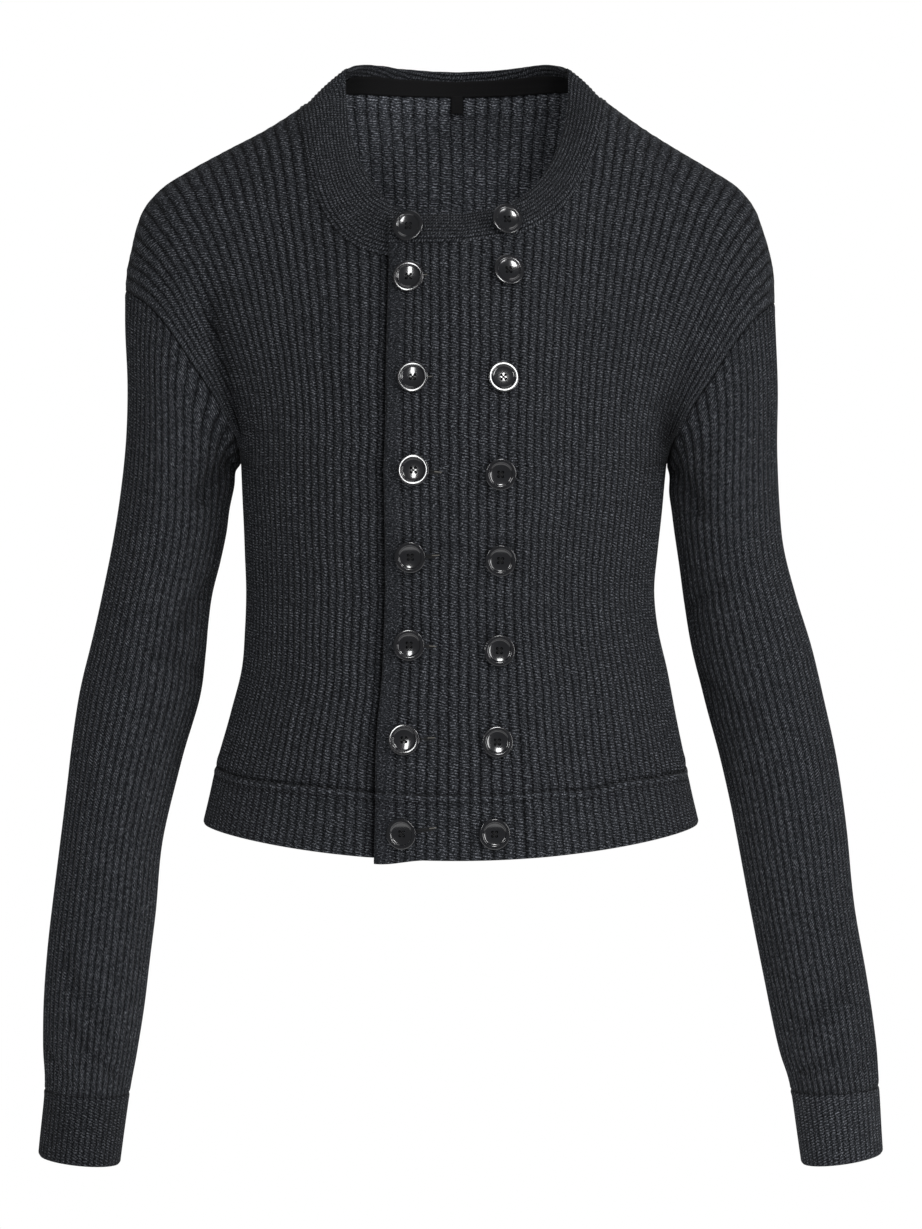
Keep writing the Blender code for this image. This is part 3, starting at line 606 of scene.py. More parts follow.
def knit(name, rib=RIB, shift=0.0, groove=0.95, crown=0.10, lighter=1.0):
    """Heather rib knit. shift moves the grooves by a share of a rib, for the inside of the cloth."""
    made, tree, shader = new_material(name)
    flat, in_groove, on_crown, wave, clear = stitches(tree, rib, shift)
    dots = node(tree, "Math", (wave, -DOT_GAP, 1.0), operation="MULTIPLY_ADD")
    dots = node(tree, "Math", (in_groove, dots), operation="MULTIPLY")
    pale = paleness(tree, flat, on_crown, wave, clear, crown)
    share = node(tree, "MapRange", (pale, *DARK_TO_YARN), **SOFT)
    yarn = node(tree, "Mix", {0: share, 6: linear(YARN_DARK), 7: linear(YARN)}, **COLOURS).outputs[2]
    share = node(tree, "MapRange", (pale, *YARN_TO_PALE), **SOFT)
    yarn = node(tree, "Mix", {0: share, 6: yarn, 7: linear(YARN_PALE)}, **COLOURS).outputs[2]
    yarn = node(tree, "Mix", {0: 1.0, 6: yarn, 7: brightness(tree, lighter)}, blend_type="MULTIPLY",
                **COLOURS).outputs[2]
    # Painted shade: the grooves are darkened towards GROOVE_DARK, as strongly as groove says.
    share = node(tree, "Math", (dots, groove), operation="MULTIPLY")
    colour = node(tree, "Mix", {0: share, 6: yarn, 7: linear(GROOVE_DARK)}, **COLOURS).outputs[2]
    height = node(tree, "Math", (dots, -0.5, pale), operation="MULTIPLY_ADD")
    finish_shader(tree, shader, colour, WOOL, height, strength=0.8, distance=0.7 * MM)
    return made


# The inside knit is painted 2.3 times lighter: painted light, for the light that reaches the inside of the
# back.
RIB_KNIT = (knit("heather_wool_rib_knit"), knit("heather_wool_rib_knit_inside", shift=0.5, lighter=2.3))
BAND_KNIT = (knit("heather_wool_band_knit", groove=0.8), knit("heather_wool_band_knit_inside", groove=0.6))
COLLAR_KNIT = (knit("heather_wool_collar_knit", rib=3.0, groove=0.86, crown=0.14, lighter=0.80),)
print(len(bpy.data.materials), "materials so far")

# %% [markdown]
# ## Materials: woven tape, polyester button, thread
#
# The neck tape is a herringbone twill of black polyester: fine slanting lines that change direction
# at each stripe. The buttons are turned from black polyester sheet and polished in a drum, which
# leaves them smooth, with no grain: a clear coat over a near-black base gives their bright spots and
# rings a slightly soft edge. The sewing thread is spun polyester, matt beside the buttons.


# %% Trim materials
TWILL = 0.9                # spacing of the twill lines, mm, drawn coarser than real to show
STRIPE = 2.5               # width of one stripe of the herringbone, mm
# TAPE_SHINE is painted sheen along the twill's lines.
TAPE_BLACK, TAPE_SHINE = "#0d0d0e", "#1b1b1c"
BUTTON_DARK, BUTTON_LIGHT = "#05060a", "#0c0e15"
BUTTON_CLOUD = 1 / 260     # size of the clouds in a button's colour and polish, metres
BUTTON_ROUGH = (0.20, 0.23)                # roughness of the polish over those clouds
PLY = 900.0                # plies of the thread a metre, as the Wave node counts them
PLY_DARK = "#0d0e10"


def twill(name):
    """Herringbone twill: slanting lines that turn back at each stripe."""
    made, tree, shader = new_material(name)
    place = node(tree, "SeparateXYZ", (node(tree, "UVMap", uv_map="knit"),))
    zigzag = node(tree, "Math", (place.outputs[1], STRIPE), operation="PINGPONG")
    slant = node(tree, "Math", (place.outputs[0], zigzag), operation="ADD")
    slant = node(tree, "Math", (slant, 2 * math.pi / TWILL), operation="MULTIPLY")
    line = half_sine(tree, slant)
    colour = node(tree, "Mix", {0: line, 6: linear(TAPE_BLACK), 7: linear(TAPE_SHINE)}, **COLOURS).outputs[2]
    finish_shader(tree, shader, colour, {"Roughness": 0.8, "Specular IOR Level": 0.12}, line)
    return made


def polished_button(name):
    """Near-black polyester under a clear polish."""
    made, tree, shader = new_material(name)
    where = node(tree, "TexCoord").outputs["Object"]
    cloud = node(tree, "TexNoise", {"Vector": where, "Scale": 1 / BUTTON_CLOUD, "Detail": 3.0})
    colour = node(tree, "Mix", {0: cloud, 6: linear(BUTTON_DARK), 7: linear(BUTTON_LIGHT)},
                  **COLOURS).outputs[2]
    worn = node(tree, "MapRange", (cloud, 0.35, 0.75, *BUTTON_ROUGH), **SOFT)
    tree.links.new(worn.outputs[0], shader.inputs["Roughness"])
    finish_shader(tree, shader, colour, {
        "Specular IOR Level": 0.2, "Coat Weight": 1.0, "Coat IOR": 1.8, "Coat Roughness": 0.11})
    return made


def thread_finish(name, colour):
    """Matt spun thread, with painted shade in the lines between its plies."""
    made, tree, shader = new_material(name)
    where = node(tree, "TexCoord").outputs["Object"]
    ply = node(tree, "TexWave", {"Vector": where, "Scale": PLY, "Distortion": 1.0})
    tint = node(tree, "Mix", {0: ply.outputs[1], 6: linear(colour), 7: linear(PLY_DARK)},
                **COLOURS).outputs[2]
    finish_shader(tree, shader, tint, {"Roughness": 0.85})
    return made


TWILL_TAPE = twill("black_polyester_twill")
BUTTON_BLACK = polished_button("polished_black_polyester")
THREAD_DARK = thread_finish("charcoal_polyester_thread", "#1c1d21")
THREAD_PALE = thread_finish("grey_polyester_thread", "#8d8a83")
# One dark finish for the real dark button threads and for the painted shadow inside each slit.
THREAD_AND_SLIT_SHADOW = thread_finish("dark_thread_and_painted_slit_shadow", "#0b0b0c")
print(len(bpy.data.materials), "materials in all")

# %% [markdown]
# ## From a grid to a knitted piece
#
# Each knitted piece is a bmesh grid. Its vertices are moved to the points that a function gives, its
# UV map gets the rib count and the length, and a Solidify modifier gives it a knit's thickness. A
# tube's first and last columns are merged, so it closes without a seam.


# %% Mesh helpers
MERGE = 0.000001           # metres within which vertices are one


def mesh_of(name, bm):
    """Mesh of a bmesh, which is freed."""
    made = bpy.data.meshes.new(name)
    bm.to_mesh(made)
    bm.free()
    return made


def finished(piece):
    """An object as its modifiers and bevels leave it."""
    return piece.evaluated_get(bpy.context.evaluated_depsgraph_get())


def add_piece(name, mesh, materials, replaced, smooth_shaded=True):
    """Object of a finished mesh, riding on the root and standing for the replaced nodes."""
    mesh.materials.clear()
    for one in materials:
        mesh.materials.append(one)
    if smooth_shaded:
        mesh.shade_smooth()
    made = in_scene(name, mesh)
    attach(made, "root")
    if replaced:
        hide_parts(*replaced)
    return made


def grid_mesh(name, points, uv, shade=1.0, closed=False, flip=False):
    """Mesh of a grid whose vertices lie at points[row, column], in mm.

    It gets a UV map named knit, and an attribute named shade: painted shade that darkens the wool inside seams
    and creases, and painted light where it lightens.
    """
    rows, columns = points.shape[:2]
    bm = bmesh.new()
    bmesh.ops.create_grid(bm, x_segments=columns - 1, y_segments=rows - 1, size=1.0)
    mesh = mesh_of(name, bm)
    flat = np.zeros(len(mesh.vertices) * 3)
    mesh.vertices.foreach_get("co", flat)
    flat = flat.reshape(-1, 3)
    column = np.rint((flat[:, 0] + 1) / 2 * (columns - 1)).astype(int)
    row = np.rint((flat[:, 1] + 1) / 2 * (rows - 1)).astype(int)
    mesh.vertices.foreach_set("co", (points[row, column] * MM).ravel())
    corner = np.zeros(len(mesh.loops), int)
    mesh.loops.foreach_get("vertex_index", corner)
    shades = np.broadcast_to(np.asarray(shade, float), points.shape[:2])
    mesh.attributes.new("shade", "FLOAT", "POINT").data.foreach_set("value", shades[row, column])
    layer = mesh.uv_layers.new(name="knit")
    layer.data.foreach_set("uv", uv[row[corner], column[corner]].ravel())
    bm = bmesh.new()
    bm.from_mesh(mesh)
    if closed:
        bmesh.ops.remove_doubles(bm, verts=bm.verts, dist=MERGE)
    if flip:
        bmesh.ops.reverse_faces(bm, faces=bm.faces)
    bm.to_mesh(mesh)
    bm.free()
    mesh.update()
    return mesh


def thicken(piece, wall, inside_slot=1):
    """Gives a sheet its thickness in mm, inward from its outer face."""
    solid = piece.modifiers.new("wall", "SOLIDIFY")
    solid.thickness = wall * MM
    solid.offset = -1.0
    solid.material_offset = inside_slot
    return piece


def lengths(points):
    """Length in mm from the first row to each row of a grid, column by column."""
    steps = np.linalg.norm(np.diff(points, axis=0), axis=-1)
    return np.concatenate((np.zeros((1, points.shape[1])), np.cumsum(steps, axis=0)))


def triangles(piece):
    seen = finished(piece)
    mesh = seen.to_mesh()
    count = sum(len(face.vertices) - 2 for face in mesh.polygons)
    seen.to_mesh_clear()
    return count


print("helpers ready")

# %% [markdown]
# ## Ribs
#
# A rib is one column of the knit that stands proud of the grooves beside it. The cloth could carry a
# bump map only, but ribs a millimetre high show at every silhouette and cast the small shadows that
# make knitwear look soft, so they are real relief: six to eight grid columns a rib, moved in and out
# by a rounded wave. Ribs are evenly spaced round the body, so their places are spread by arc length
# round the body's ellipse.

# %% Places of the ribs
RIB_DEPTH = 0.90           # from a groove to the top of a rib, mm
RIB_POWER = 2.1            # how broad a rib's top is against its groove
RIB_STEPS, BACK_STEPS = 8, 7       # grid columns a rib
PLACKET_RIBS = 14          # ribs of the lapped middle of a front
RIBS_LEFT, RIBS_RIGHT, RIBS_BACK = 29, 27, 30   # from the middle to a side seam
ELLIPSE = 0.80             # depth of the body over its half width, for spacing the ribs
FINE = 400                 # steps for measuring round that ellipse


def spread(start, end, count):
    """count + 1 values of s with even spacing round the body."""
    fine = np.linspace(0, 1, FINE)
    speed = np.hypot(np.cos(fine * math.pi / 2), ELLIPSE * np.sin(fine * math.pi / 2))
    reach = np.concatenate(([0.0], np.cumsum((speed[1:] + speed[:-1]) / 2)))
    marks = np.linspace(np.interp(start, fine, reach), np.interp(end, fine, reach), count + 1)
    return np.interp(marks, reach, fine)


def columns_of(edges, steps=RIB_STEPS):
    """s of every grid column and its place in ribs, from the s of the grooves."""
    count = np.arange((len(edges) - 1) * steps + 1) / steps
    return np.interp(count, np.arange(len(edges)), edges), count


placket = np.linspace(FREE_EDGE, HIDDEN_EDGE, PLACKET_RIBS + 1)
LEFT_COLUMNS = columns_of(np.concatenate((placket, spread(HIDDEN_EDGE, 1, RIBS_LEFT)[1:])))
RIGHT_COLUMNS = columns_of(np.concatenate((-spread(-FREE_EDGE, 1, RIBS_RIGHT)[:0:-1], placket)))
half_back = spread(0, 1, RIBS_BACK)
BACK_COLUMNS = columns_of(np.concatenate((-half_back[:0:-1], half_back)), BACK_STEPS)


def rib_wave(count):
    """0 on top of a rib and 1 in the groove beside it: broad on top, narrow below."""
    return np.abs(np.cos(math.pi * count)) ** RIB_POWER


print("columns", len(LEFT_COLUMNS[0]), len(RIGHT_COLUMNS[0]), len(BACK_COLUMNS[0]))


# %% [markdown]
# ## Panels
#
# Hand-worn knit is never quite even: ribs wander a little and the cloth swells and sinks by fractions
# of a millimetre. A few slow sine waves do that, the same on every run. Near a seam the ribs flatten,
# because the linking thread pulls them together, and the cloth puffs up just beside it.

# %% Seams, waves and the free edge
NECK_LEVEL = 0.5           # h near the neck, where a column's own end is looked up
SEAM_LIFT = 2.0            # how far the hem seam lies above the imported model's, mm
HEM_WAVES = {              # height in mm, waves to a unit of s, start
    RIGHT: ((0.5, 7.0, 0.4), (0.3, 15.0, 1.1)), LEFT: ((1.0, 13.0, 0.2), (0.6, 24.0, 2.0)),
}
SWELL = 0.45               # in and out of the cloth between the ribs, mm at most
WANDER = 0.28              # sideways wander of the ribs, mm at most
GIRTH = 220                # mm of cloth to a unit of s
STILL_SIDE, STILL_EDGE = 0.05, 0.03        # s beside a side seam and a front edge where ribs don't wander
DRAWN_IN = np.array((      # the free edge doesn't run quite along one column
    # h, how far it is drawn towards the middle, in s
    (-1.0, 0.022), (-0.87, 0.016), (-0.71, 0.004), (-0.51, 0.008), (-0.32, 0.012), (-0.1, 0.015),
    (0.02, 0.014), (0.21, 0.020), (0.35, 0.028), (0.42, 0.036), (0.49, 0.045), (0.56, 0.048), (1.0, 0.048),
))
DRAWN_HALF = 0.13          # how far from the free edge this reaches, in s


def to_h(z):
    """h of a height z on the side seam below the underarm."""
    return (np.asarray(z, float) - UNDERARM_Z) / (UNDERARM_Z - HEM_EDGE_Z)


def seam_wave(s):
    """How far the hem seam lies above its usual height at s, in mm: half as far across the placket."""
    total = SEAM_LIFT * (0.5 + 0.5 * smooth((np.abs(s) - 0.2) / 0.12))
    for side in (RIGHT, LEFT):
        for height, waves, start in HEM_WAVES[side]:
            here = smooth((side * s - 0.1) / 0.1)
            total += here * height * np.sin(waves * np.abs(s) + start)
    return total


def swell(point):
    """Slow swelling and sinking of hand-worn cloth, in mm."""
    x, y, z = np.moveaxis(point, -1, 0)
    slow = np.sin(x / 19 + 1.3 * np.sin(z / 31)) * np.sin(z / 27 + 0.7 + 0.9 * np.sin(x / 37 + y / 30))
    return SWELL * slow


def drawn_in(s, h, piece):
    """s of the fronts' columns, drawn towards the middle near the free edge."""
    if piece is back:
        return s
    return s + curve(DRAWN_IN[:, 0], DRAWN_IN[:, 1], h) * near(s - FREE_EDGE, DRAWN_HALF)


def wandered(s, h):
    """s with a slight wander of the ribs, still at the edges."""
    free = smooth((1 - np.abs(s)) / STILL_SIDE) * smooth(np.abs(s - FREE_EDGE) / STILL_EDGE)
    free = free * smooth(np.abs(s - HIDDEN_EDGE) / STILL_EDGE)
    shift = np.sin(h * 23 + 9 * s) + 0.6 * np.sin(h * 51 + 23 * s + 1.0)
    return s + free * shift * WANDER / GIRTH


print("hem seam at the side", round(HEM_SEAM_Z + float(seam_wave(1.0)), 1), "mm")

# %% Rows of a panel
TUCK, TUCK_DEPTH = 2.2, 2.1        # how far an edge reaches under the next piece, and how deep it lies, mm
FIRST_ROWS = (0.0, 1.1, 2.1, 3.1, 4.2, 5.6, 7.4)              # close rows up from the lower edge, mm
ROWS_LOW, ROWS_HIGH = 43, 48       # rows from there to the underarm, and on to the top
LAST_ROW = 0.992                   # share of the height above the underarm where the last row but one lies


def panel_rows(s, piece):
    """h of each row and column of a panel, from under the hem band's edge to the neck and shoulder."""
    top = neck_h(drawn_in(s, NECK_LEVEL, piece), piece)
    bottom = to_h(HEM_SEAM_Z - TUCK + seam_wave(s))
    first = np.array(FIRST_ROWS) / (UNDERARM_Z - HEM_EDGE_Z)
    low = [bottom + step for step in first]
    low += [bottom + first[-1] + share * (-bottom - first[-1]) for share in np.linspace(0, 1, ROWS_LOW)[1:]]
    high = [share * top for share in np.linspace(0, 1, ROWS_HIGH)[1:]]
    high[-1:] = [top * LAST_ROW, top]
    return np.array(low + high)


def knit_uv(count, v, piece=None):
    """UV map of a grid: place in ribs, and length along them. Only the left front counts from 0."""
    return np.stack((np.broadcast_to(count + (0 if piece is left_front else FIRST_RIB), v.shape), v), -1)


def closed_up(points, meets):
    """Points with front and back moved together where they meet, so no light comes through."""
    points[..., 1] -= np.where(meets, np.sign(points[..., 1]) * SIDE_GAP * MEET_CLOSE, 0)
    return points


print("rows of the back", len(panel_rows(BACK_COLUMNS[0], back)))

# %% Relief of a panel
SINK_START, SINK_RUN = 1.3, 3.2    # an edge sinks to that depth over this length, mm
SINK_SIDE = 0.25                   # share of the sinking at a side seam
FLAT_LOW, FLAT_HIGH = 3.5, 4.0     # ribs flatten over these lengths by the lower seam and the neckline, mm
FLAT_SIDE = 45                     # and over 1/45 of s by a side seam
FLATTEST = 0.12                    # share of a rib's depth that is left there
PUFF, PUFF_PLACE, PUFF_HALF = 0.3, 5.5, 2.5                   # the cloth puffs up just above the seam, mm
INWARD = 0.07                      # s beside a side seam over which the sinking comes to its full depth
PLACKET_FADE = 0.12                # s over which the placket's flat seam turns to the usual one
PLACKET_SINK = 0.35                # share by which the placket's lower edge sinks less


def in_placket(s, piece):
    """1 on the left front's placket, where its lower seam is pressed flat, and 0 elsewhere."""
    return smooth((HIDDEN_EDGE + PLACKET_FADE - s) / PLACKET_FADE) if piece is left_front else 0 * s


def inward(s):
    return smooth((1 - np.abs(s)) / INWARD)


def panel_relief(s, v, piece, ribs):
    """Outward move of a panel's points in mm: the ribs, its sunk edges and the puff above the seam."""
    edge = np.minimum(smooth((v - TUCK) / FLAT_LOW), smooth((v[-1] - v) / FLAT_HIGH))
    edge = edge * smooth((1 - np.abs(s)) * FLAT_SIDE)
    sunk = TUCK_DEPTH * (SINK_SIDE + (1 - SINK_SIDE) * inward(s)) * (1 - PLACKET_SINK * in_placket(s, piece))
    move = -ribs * (FLATTEST + (1 - FLATTEST) * edge) - sunk * (1 - smooth((v - SINK_START) / SINK_RUN))
    return move + PUFF * near(v - TUCK - PUFF_PLACE, PUFF_HALF), edge


print("seams sink", TUCK_DEPTH, "mm")

# %% Ribs and pressed places of each panel
FELTED_END, FELTED_RUN = 0.9, 1.6  # ribs from the free edge where the felted ones end, and over which
FACING_DEEPER, FACING_HALF = 0.7, 0.5      # share by which the groove at the facing's end is deeper; ribs
EDGE_PRESS, EDGE_PRESS_HALF = 1.0, 0.0045  # how far the free edge is rounded over: mm, and s
UNDER_LAP, UNDER_LAP_RUN = 0.2, 0.03       # share of the ribs' depth under the lap, and s over which it grows
CHANNEL_DEPTH, CHANNEL_HALF = 3.0, 0.012   # channel beside the free edge: mm, and s
CHANNEL_AT = 0.004                 # how far beside the edge its middle lies, in s


def left_depth(s, count):
    """The left front's first ribs are felted flat by the turned edge. Its facing ends in a deeper groove."""
    edge = FLATTEST + (1 - FLATTEST) * smooth((count - FELTED_END) / FELTED_RUN)
    facing = 1 + FACING_DEEPER * near(count - PLACKET_RIBS, FACING_HALF)
    return RIB_DEPTH * edge * facing


def left_press(s):
    """The free edge is rounded over."""
    return EDGE_PRESS * near(s - FREE_EDGE, EDGE_PRESS_HALF)


def right_depth(s, count):
    """Under the lap the right front lies flat."""
    return RIB_DEPTH * (UNDER_LAP + (1 - UNDER_LAP) * smooth((FREE_EDGE + UNDER_LAP_RUN - s) / UNDER_LAP_RUN))


def right_press(s):
    """Beside the free edge the right front is pressed in, which leaves a shadowed channel."""
    return CHANNEL_DEPTH * near(s - FREE_EDGE + CHANNEL_AT, CHANNEL_HALF)


def back_depth(s, count):
    return RIB_DEPTH * np.ones_like(s)


def not_pressed(s):
    return 0 * s


print("channel", right_press(FREE_EDGE).round(2), "mm deep beside the free edge")

# %% Painted shade of a panel
OVERLAP = 3.0              # how far the neckband's lower edge lies over the panels, mm
SEAM_DARK, SEAM_AT, SEAM_HALF = 0.38, 0.9, 1.3     # painted shade above the hem seam: how dark, its place and half width
NECK_DARK, NECK_AT, NECK_HALF = 0.22, 0.6, 1.2     # and painted shade below the neckband
PLACKET_DARK = 0.5                                 # share by which the placket's seam is less dark
TROUGH_DARK, TROUGH_FROM, TROUGH_RUN = 0.30, 4, 9  # how dark the painted shade in troughs is, from this depth over this run
CHANNEL_DARK, SHADE_AT, SHADE_HALF = 0.75, 0.005, 0.011       # and the painted shadow in the channel beside the free edge; s
UNDERARM_DARK = (
    # painted shade: side, height of its middle above the underarm in mm, width over height, half width in mm,
    # how dark
    (RIGHT, 6.0, 0.6, 8.0, 0.45), (LEFT, 17.0, 0.26, 8.0, 0.72),
)


def underarm_shade(points):
    """Painted shade in the corner under each arm."""
    total = 1.0
    for side, rise, squeeze, width, dark in UNDERARM_DARK:
        across = points[..., 0] - side * SLEEVE[side][0, 2]
        up = points[..., 2] - SLEEVE[side][0, 3] - rise
        total = total * (1 - dark * near(np.hypot(across, up * squeeze), width))
    return total


def channel_shade(s, piece):
    """Painted shadow in the channel beside the free edge of the right front."""
    return 1 - CHANNEL_DARK * near(s - FREE_EDGE + SHADE_AT, SHADE_HALF) if piece is right_front else 1.0


def panel_shade(s, v, piece, points):
    """Painted shade of a panel's wool: darker beside seams, in troughs, under the arms and in the channel."""
    seam_dark = SEAM_DARK * inward(s) * (1 - PLACKET_DARK * in_placket(s, piece))
    shade = 1 - seam_dark * near(v - TUCK - SEAM_AT, SEAM_HALF)
    shade = shade - NECK_DARK * near(v[-1] - v - OVERLAP - NECK_AT, NECK_HALF)
    pressed = trough_depth(points[..., 0], points[..., 2], BACK if piece is back else FRONT)
    shade = shade * (1 - TROUGH_DARK * smooth((pressed - TROUGH_FROM) / TROUGH_RUN))
    return shade * underarm_shade(points) * channel_shade(s, piece)


print("underarm corners darkened by", [row[-1] for row in UNDERARM_DARK])


# %% Panels of the body
def panel(name, columns, piece, replaced, depth, press=not_pressed, flip=False):
    """Body panel from under the hem band's edge to the neckline and the shoulder line."""
    s, count = columns
    h = panel_rows(s, piece)
    s_grid = drawn_in(wandered(np.broadcast_to(s, h.shape), h), h, piece)
    points = piece(s_grid, h)
    v = lengths(points)
    move, edge = panel_relief(s, v, piece, depth(s, count) * rib_wave(count))
    move = move + swell(points) * edge - press(s)
    points = points + outward(piece, s_grid, h) * move[..., None]
    points = closed_up(points, (np.abs(s_grid) > ALMOST) | (h > ALMOST))
    mesh = grid_mesh(name, points, knit_uv(count, v, piece), panel_shade(s, v, piece, points), flip=flip)
    return thicken(add_piece(name, mesh, RIB_KNIT, [replaced]), WALL)


front_right = panel("front_right_knit", RIGHT_COLUMNS, right_front, "front_right", right_depth, right_press)
front_left = panel("front_left_knit", LEFT_COLUMNS, left_front, "front_left", left_depth, left_press)
back_piece = panel("back_knit", BACK_COLUMNS, back, "back", back_depth, flip=True)
for piece in (front_right, front_left, back_piece):
    print(piece.name, triangles(piece), "triangles")

# %% [markdown]
# ## Hem bands
#
# The hem band is a separate strip in a flatter rib, linked to the body with the seam turned out, so
# its upper edge is a raised, slightly wavy roll. Its lower edge is rounded over, as a doubled band is.


# %% Hem bands
BAND_DEPTH = 0.42          # depth of the finer ribs, mm
HEM_ROWS = (0.0, 0.5, 1.2, 2.2, 4.0, 8.0, 12.0, 16.0, 20.0, 24.0, 28.0)     # up from the lower edge, mm
HEM_TOP_ROWS = (6.2, 5.3, 4.4, 3.4, 2.5, 1.7, 1.0, 0.4, 0.0)                # down from the seam, mm
CORNER_DROP = 3.3          # how far the left front's lower corner hangs below the hem beside it, mm
CORNER_FROM, CORNER_RUN = -0.08, 0.14      # s from which it starts to hang, and over which
RIBS_IN, RIBS_OUT, RIBS_OUT_RUN = 3, 3, 2  # mm over which the ribs grow from the edge and end by the seam
SEAM_LINE, SEAM_LINE_HALF = 0.2, 0.9       # painted shade: how much darker the last mm below the seam is
EDGE_ROUND, EDGE_HALF = 1.1, 0.9           # how far the lower edge is rounded over, and over what length, mm
HEM_ROLL = ((2.3, 1.5, 1.35), (0.0, 0.7, -0.9), (5.6, 1.2, -0.35))    # mm below the seam, half width, height
HEM_ROLL_SHADE = ((2.4, 1.3, 0.38), (5.4, 1.1, -0.3))                 # painted light on the roll and painted shade in the line below it: place, half width, how much lighter
ROLL_AT_SIDE, ROLL_FULL = 0.25, 0.22       # share of the roll at a side seam, and s over which it grows full
FACING_GROOVE, GROOVE_HALF = 0.8, 0.16     # groove in the band where the facing ends: mm, and ribs
FACING_DARK, DARK_HALF = 0.35, 0.14        # painted shade in that groove: how much darker it is, and ribs


def corner_drop(s, rise, piece):
    """How far the left front's lower corner hangs at s and at a rise above the hem's edge, in mm."""
    if piece is not left_front:
        return 0 * s
    return CORNER_DROP * smooth((CORNER_FROM - s) / CORNER_RUN) * (1 - rise / HEM_ROWS[-1])


def bumps(distance, table):
    """Sum of soft bumps. Each row of the table is a place, a half width and a height."""
    return sum(height * near(distance - place, width) for place, width, height in table)


def hem_band(name, columns, piece, replaced, press=not_pressed, flip=False):
    """Hem band below a body panel, from its lower edge up to the seam."""
    s, count = columns
    top = HEM_SEAM_Z - SEAM_GAP / 2 + seam_wave(s)
    z = [HEM_EDGE_Z + rise - corner_drop(s, rise, piece) for rise in HEM_ROWS]
    z += [top - drop for drop in HEM_TOP_ROWS]
    h = to_h(np.array(z))
    s_grid = drawn_in(np.broadcast_to(s, h.shape), h, piece)
    points = piece(s_grid, h)
    v = lengths(points)
    to_top = v[-1] - v
    rolled = ROLL_AT_SIDE + (1 - ROLL_AT_SIDE) * smooth((1 - np.abs(s)) / ROLL_FULL)
    move = -BAND_DEPTH * rib_wave(count) * smooth(v / RIBS_IN) * smooth((to_top - RIBS_OUT) / RIBS_OUT_RUN)
    move = move - EDGE_ROUND * near(v, EDGE_HALF) + rolled * bumps(to_top, HEM_ROLL) - press(s)
    # Painted shade below the seam and under the roll, and painted light on the roll's top.
    shade = 1 - SEAM_LINE * near(to_top, SEAM_LINE_HALF) + rolled * bumps(to_top, HEM_ROLL_SHADE)
    if piece is left_front:
        move = move - FACING_GROOVE * near(count - PLACKET_RIBS, GROOVE_HALF)
        shade = shade * (1 - FACING_DARK * near(count - PLACKET_RIBS, DARK_HALF))
    shade = shade * channel_shade(s, piece)
    points = points + outward(piece, s_grid, h) * move[..., None]
    points = closed_up(points, np.abs(s_grid) > ALMOST)
    mesh = grid_mesh(name, points, knit_uv(count, v, piece), shade, flip=flip)
    return thicken(add_piece(name, mesh, BAND_KNIT, [replaced]), WALL)


hem_right = hem_band("hem_band_right_knit", RIGHT_COLUMNS, right_front, "hem_band_right", right_press)
hem_left = hem_band("hem_band_left_knit", LEFT_COLUMNS, left_front, "hem_band_left", left_press)
hem_back = hem_band("hem_band_back_knit", BACK_COLUMNS, back, "hem_band_back", flip=True)
print("hem bands", [triangles(piece) for piece in (hem_right, hem_left, hem_back)], "triangles")

# %% [markdown]
# ## Sleeves and cuffs
#
# A sleeve is a tube whose ribs run down its length. It could be a tapered cylinder, but a real sleeve
# hangs from a slanting armhole, so its first ring is slanted too and the rings turn level further
# down. On the front its ribs leave the armhole at a slant, so the columns are turned a little there.
# Creases are short lines in turns round the tube and rings along it: at the underarm, inside the
# elbow and above the cuff, where the spare length of a sleeve gathers.

# %% Turn and creases of the sleeves
TWIST = {RIGHT: 0.42, LEFT: 0.34}          # turn of the ribs at the armhole, in radians
TWIST_RINGS = 6.0                          # rings over which it fades
TUBE_RADIUS, RING_LENGTH = 38.0, 38.0      # usual radius and ring spacing, mm, for measuring creases
SLEEVE_FOLDS = {
    # turn and ring where a crease starts, turn and ring where it ends, depth in mm, half width in mm
    RIGHT: (
        (0.35, 0.8, 1.00, 3.2, 2.6, 6.0), (0.20, 5.3, 1.10, 6.6, 1.6, 6.5),
        (0.25, 7.4, 1.30, 7.0, 1.3, 7.0), (2.20, 11.6, 1.20, 12.6, 1.7, 5.0),
        (2.00, 12.5, 0.90, 13.4, 1.9, 4.6), (2.75, 12.9, 2.00, 13.7, 1.3, 4.0),
        (3.70, 6.0, 4.70, 6.9, 1.7, 7.5), (4.90, 7.4, 5.90, 6.6, 1.5, 7.5),
        (4.20, 12.0, 5.20, 13.1, 1.6, 5.5), (5.60, 1.2, 5.00, 3.0, 2.0, 7.0),
        (3.40, 9.2, 4.40, 9.9, 1.1, 8.0),
    ),
    LEFT: (
        (0.40, 1.0, 0.95, 3.4, 2.2, 6.5), (0.20, 6.2, 1.20, 5.6, 1.4, 7.0),
        (0.30, 7.6, 1.25, 8.2, 1.2, 7.0), (1.10, 12.6, 2.10, 12.1, 1.3, 5.0),
        (0.80, 13.5, 1.70, 13.1, 1.5, 4.4), (2.00, 13.6, 2.80, 13.1, 1.1, 4.2),
        (3.60, 6.6, 4.60, 5.9, 1.7, 7.5), (4.80, 6.9, 5.90, 7.6, 1.5, 7.5),
        (4.30, 12.7, 5.30, 12.0, 1.5, 5.5), (5.70, 1.3, 5.10, 3.2, 1.9, 7.0),
    ),
}
UNDER_PANEL = 0.12         # ring up to which a sleeve runs straight, under the panels' edge
STRAIGHT_RUN = 25          # length of that straight run, mm to a ring


def sleeve_turn(side, turn, k):
    """Turn of a rib at ring k: pulled back towards its slant near the armhole."""
    fade = np.clip(1 - k / TWIST_RINGS, 0, 1) ** 2
    return turn + TWIST[side] * fade * np.sin(turn) * np.abs(np.sin(turn))


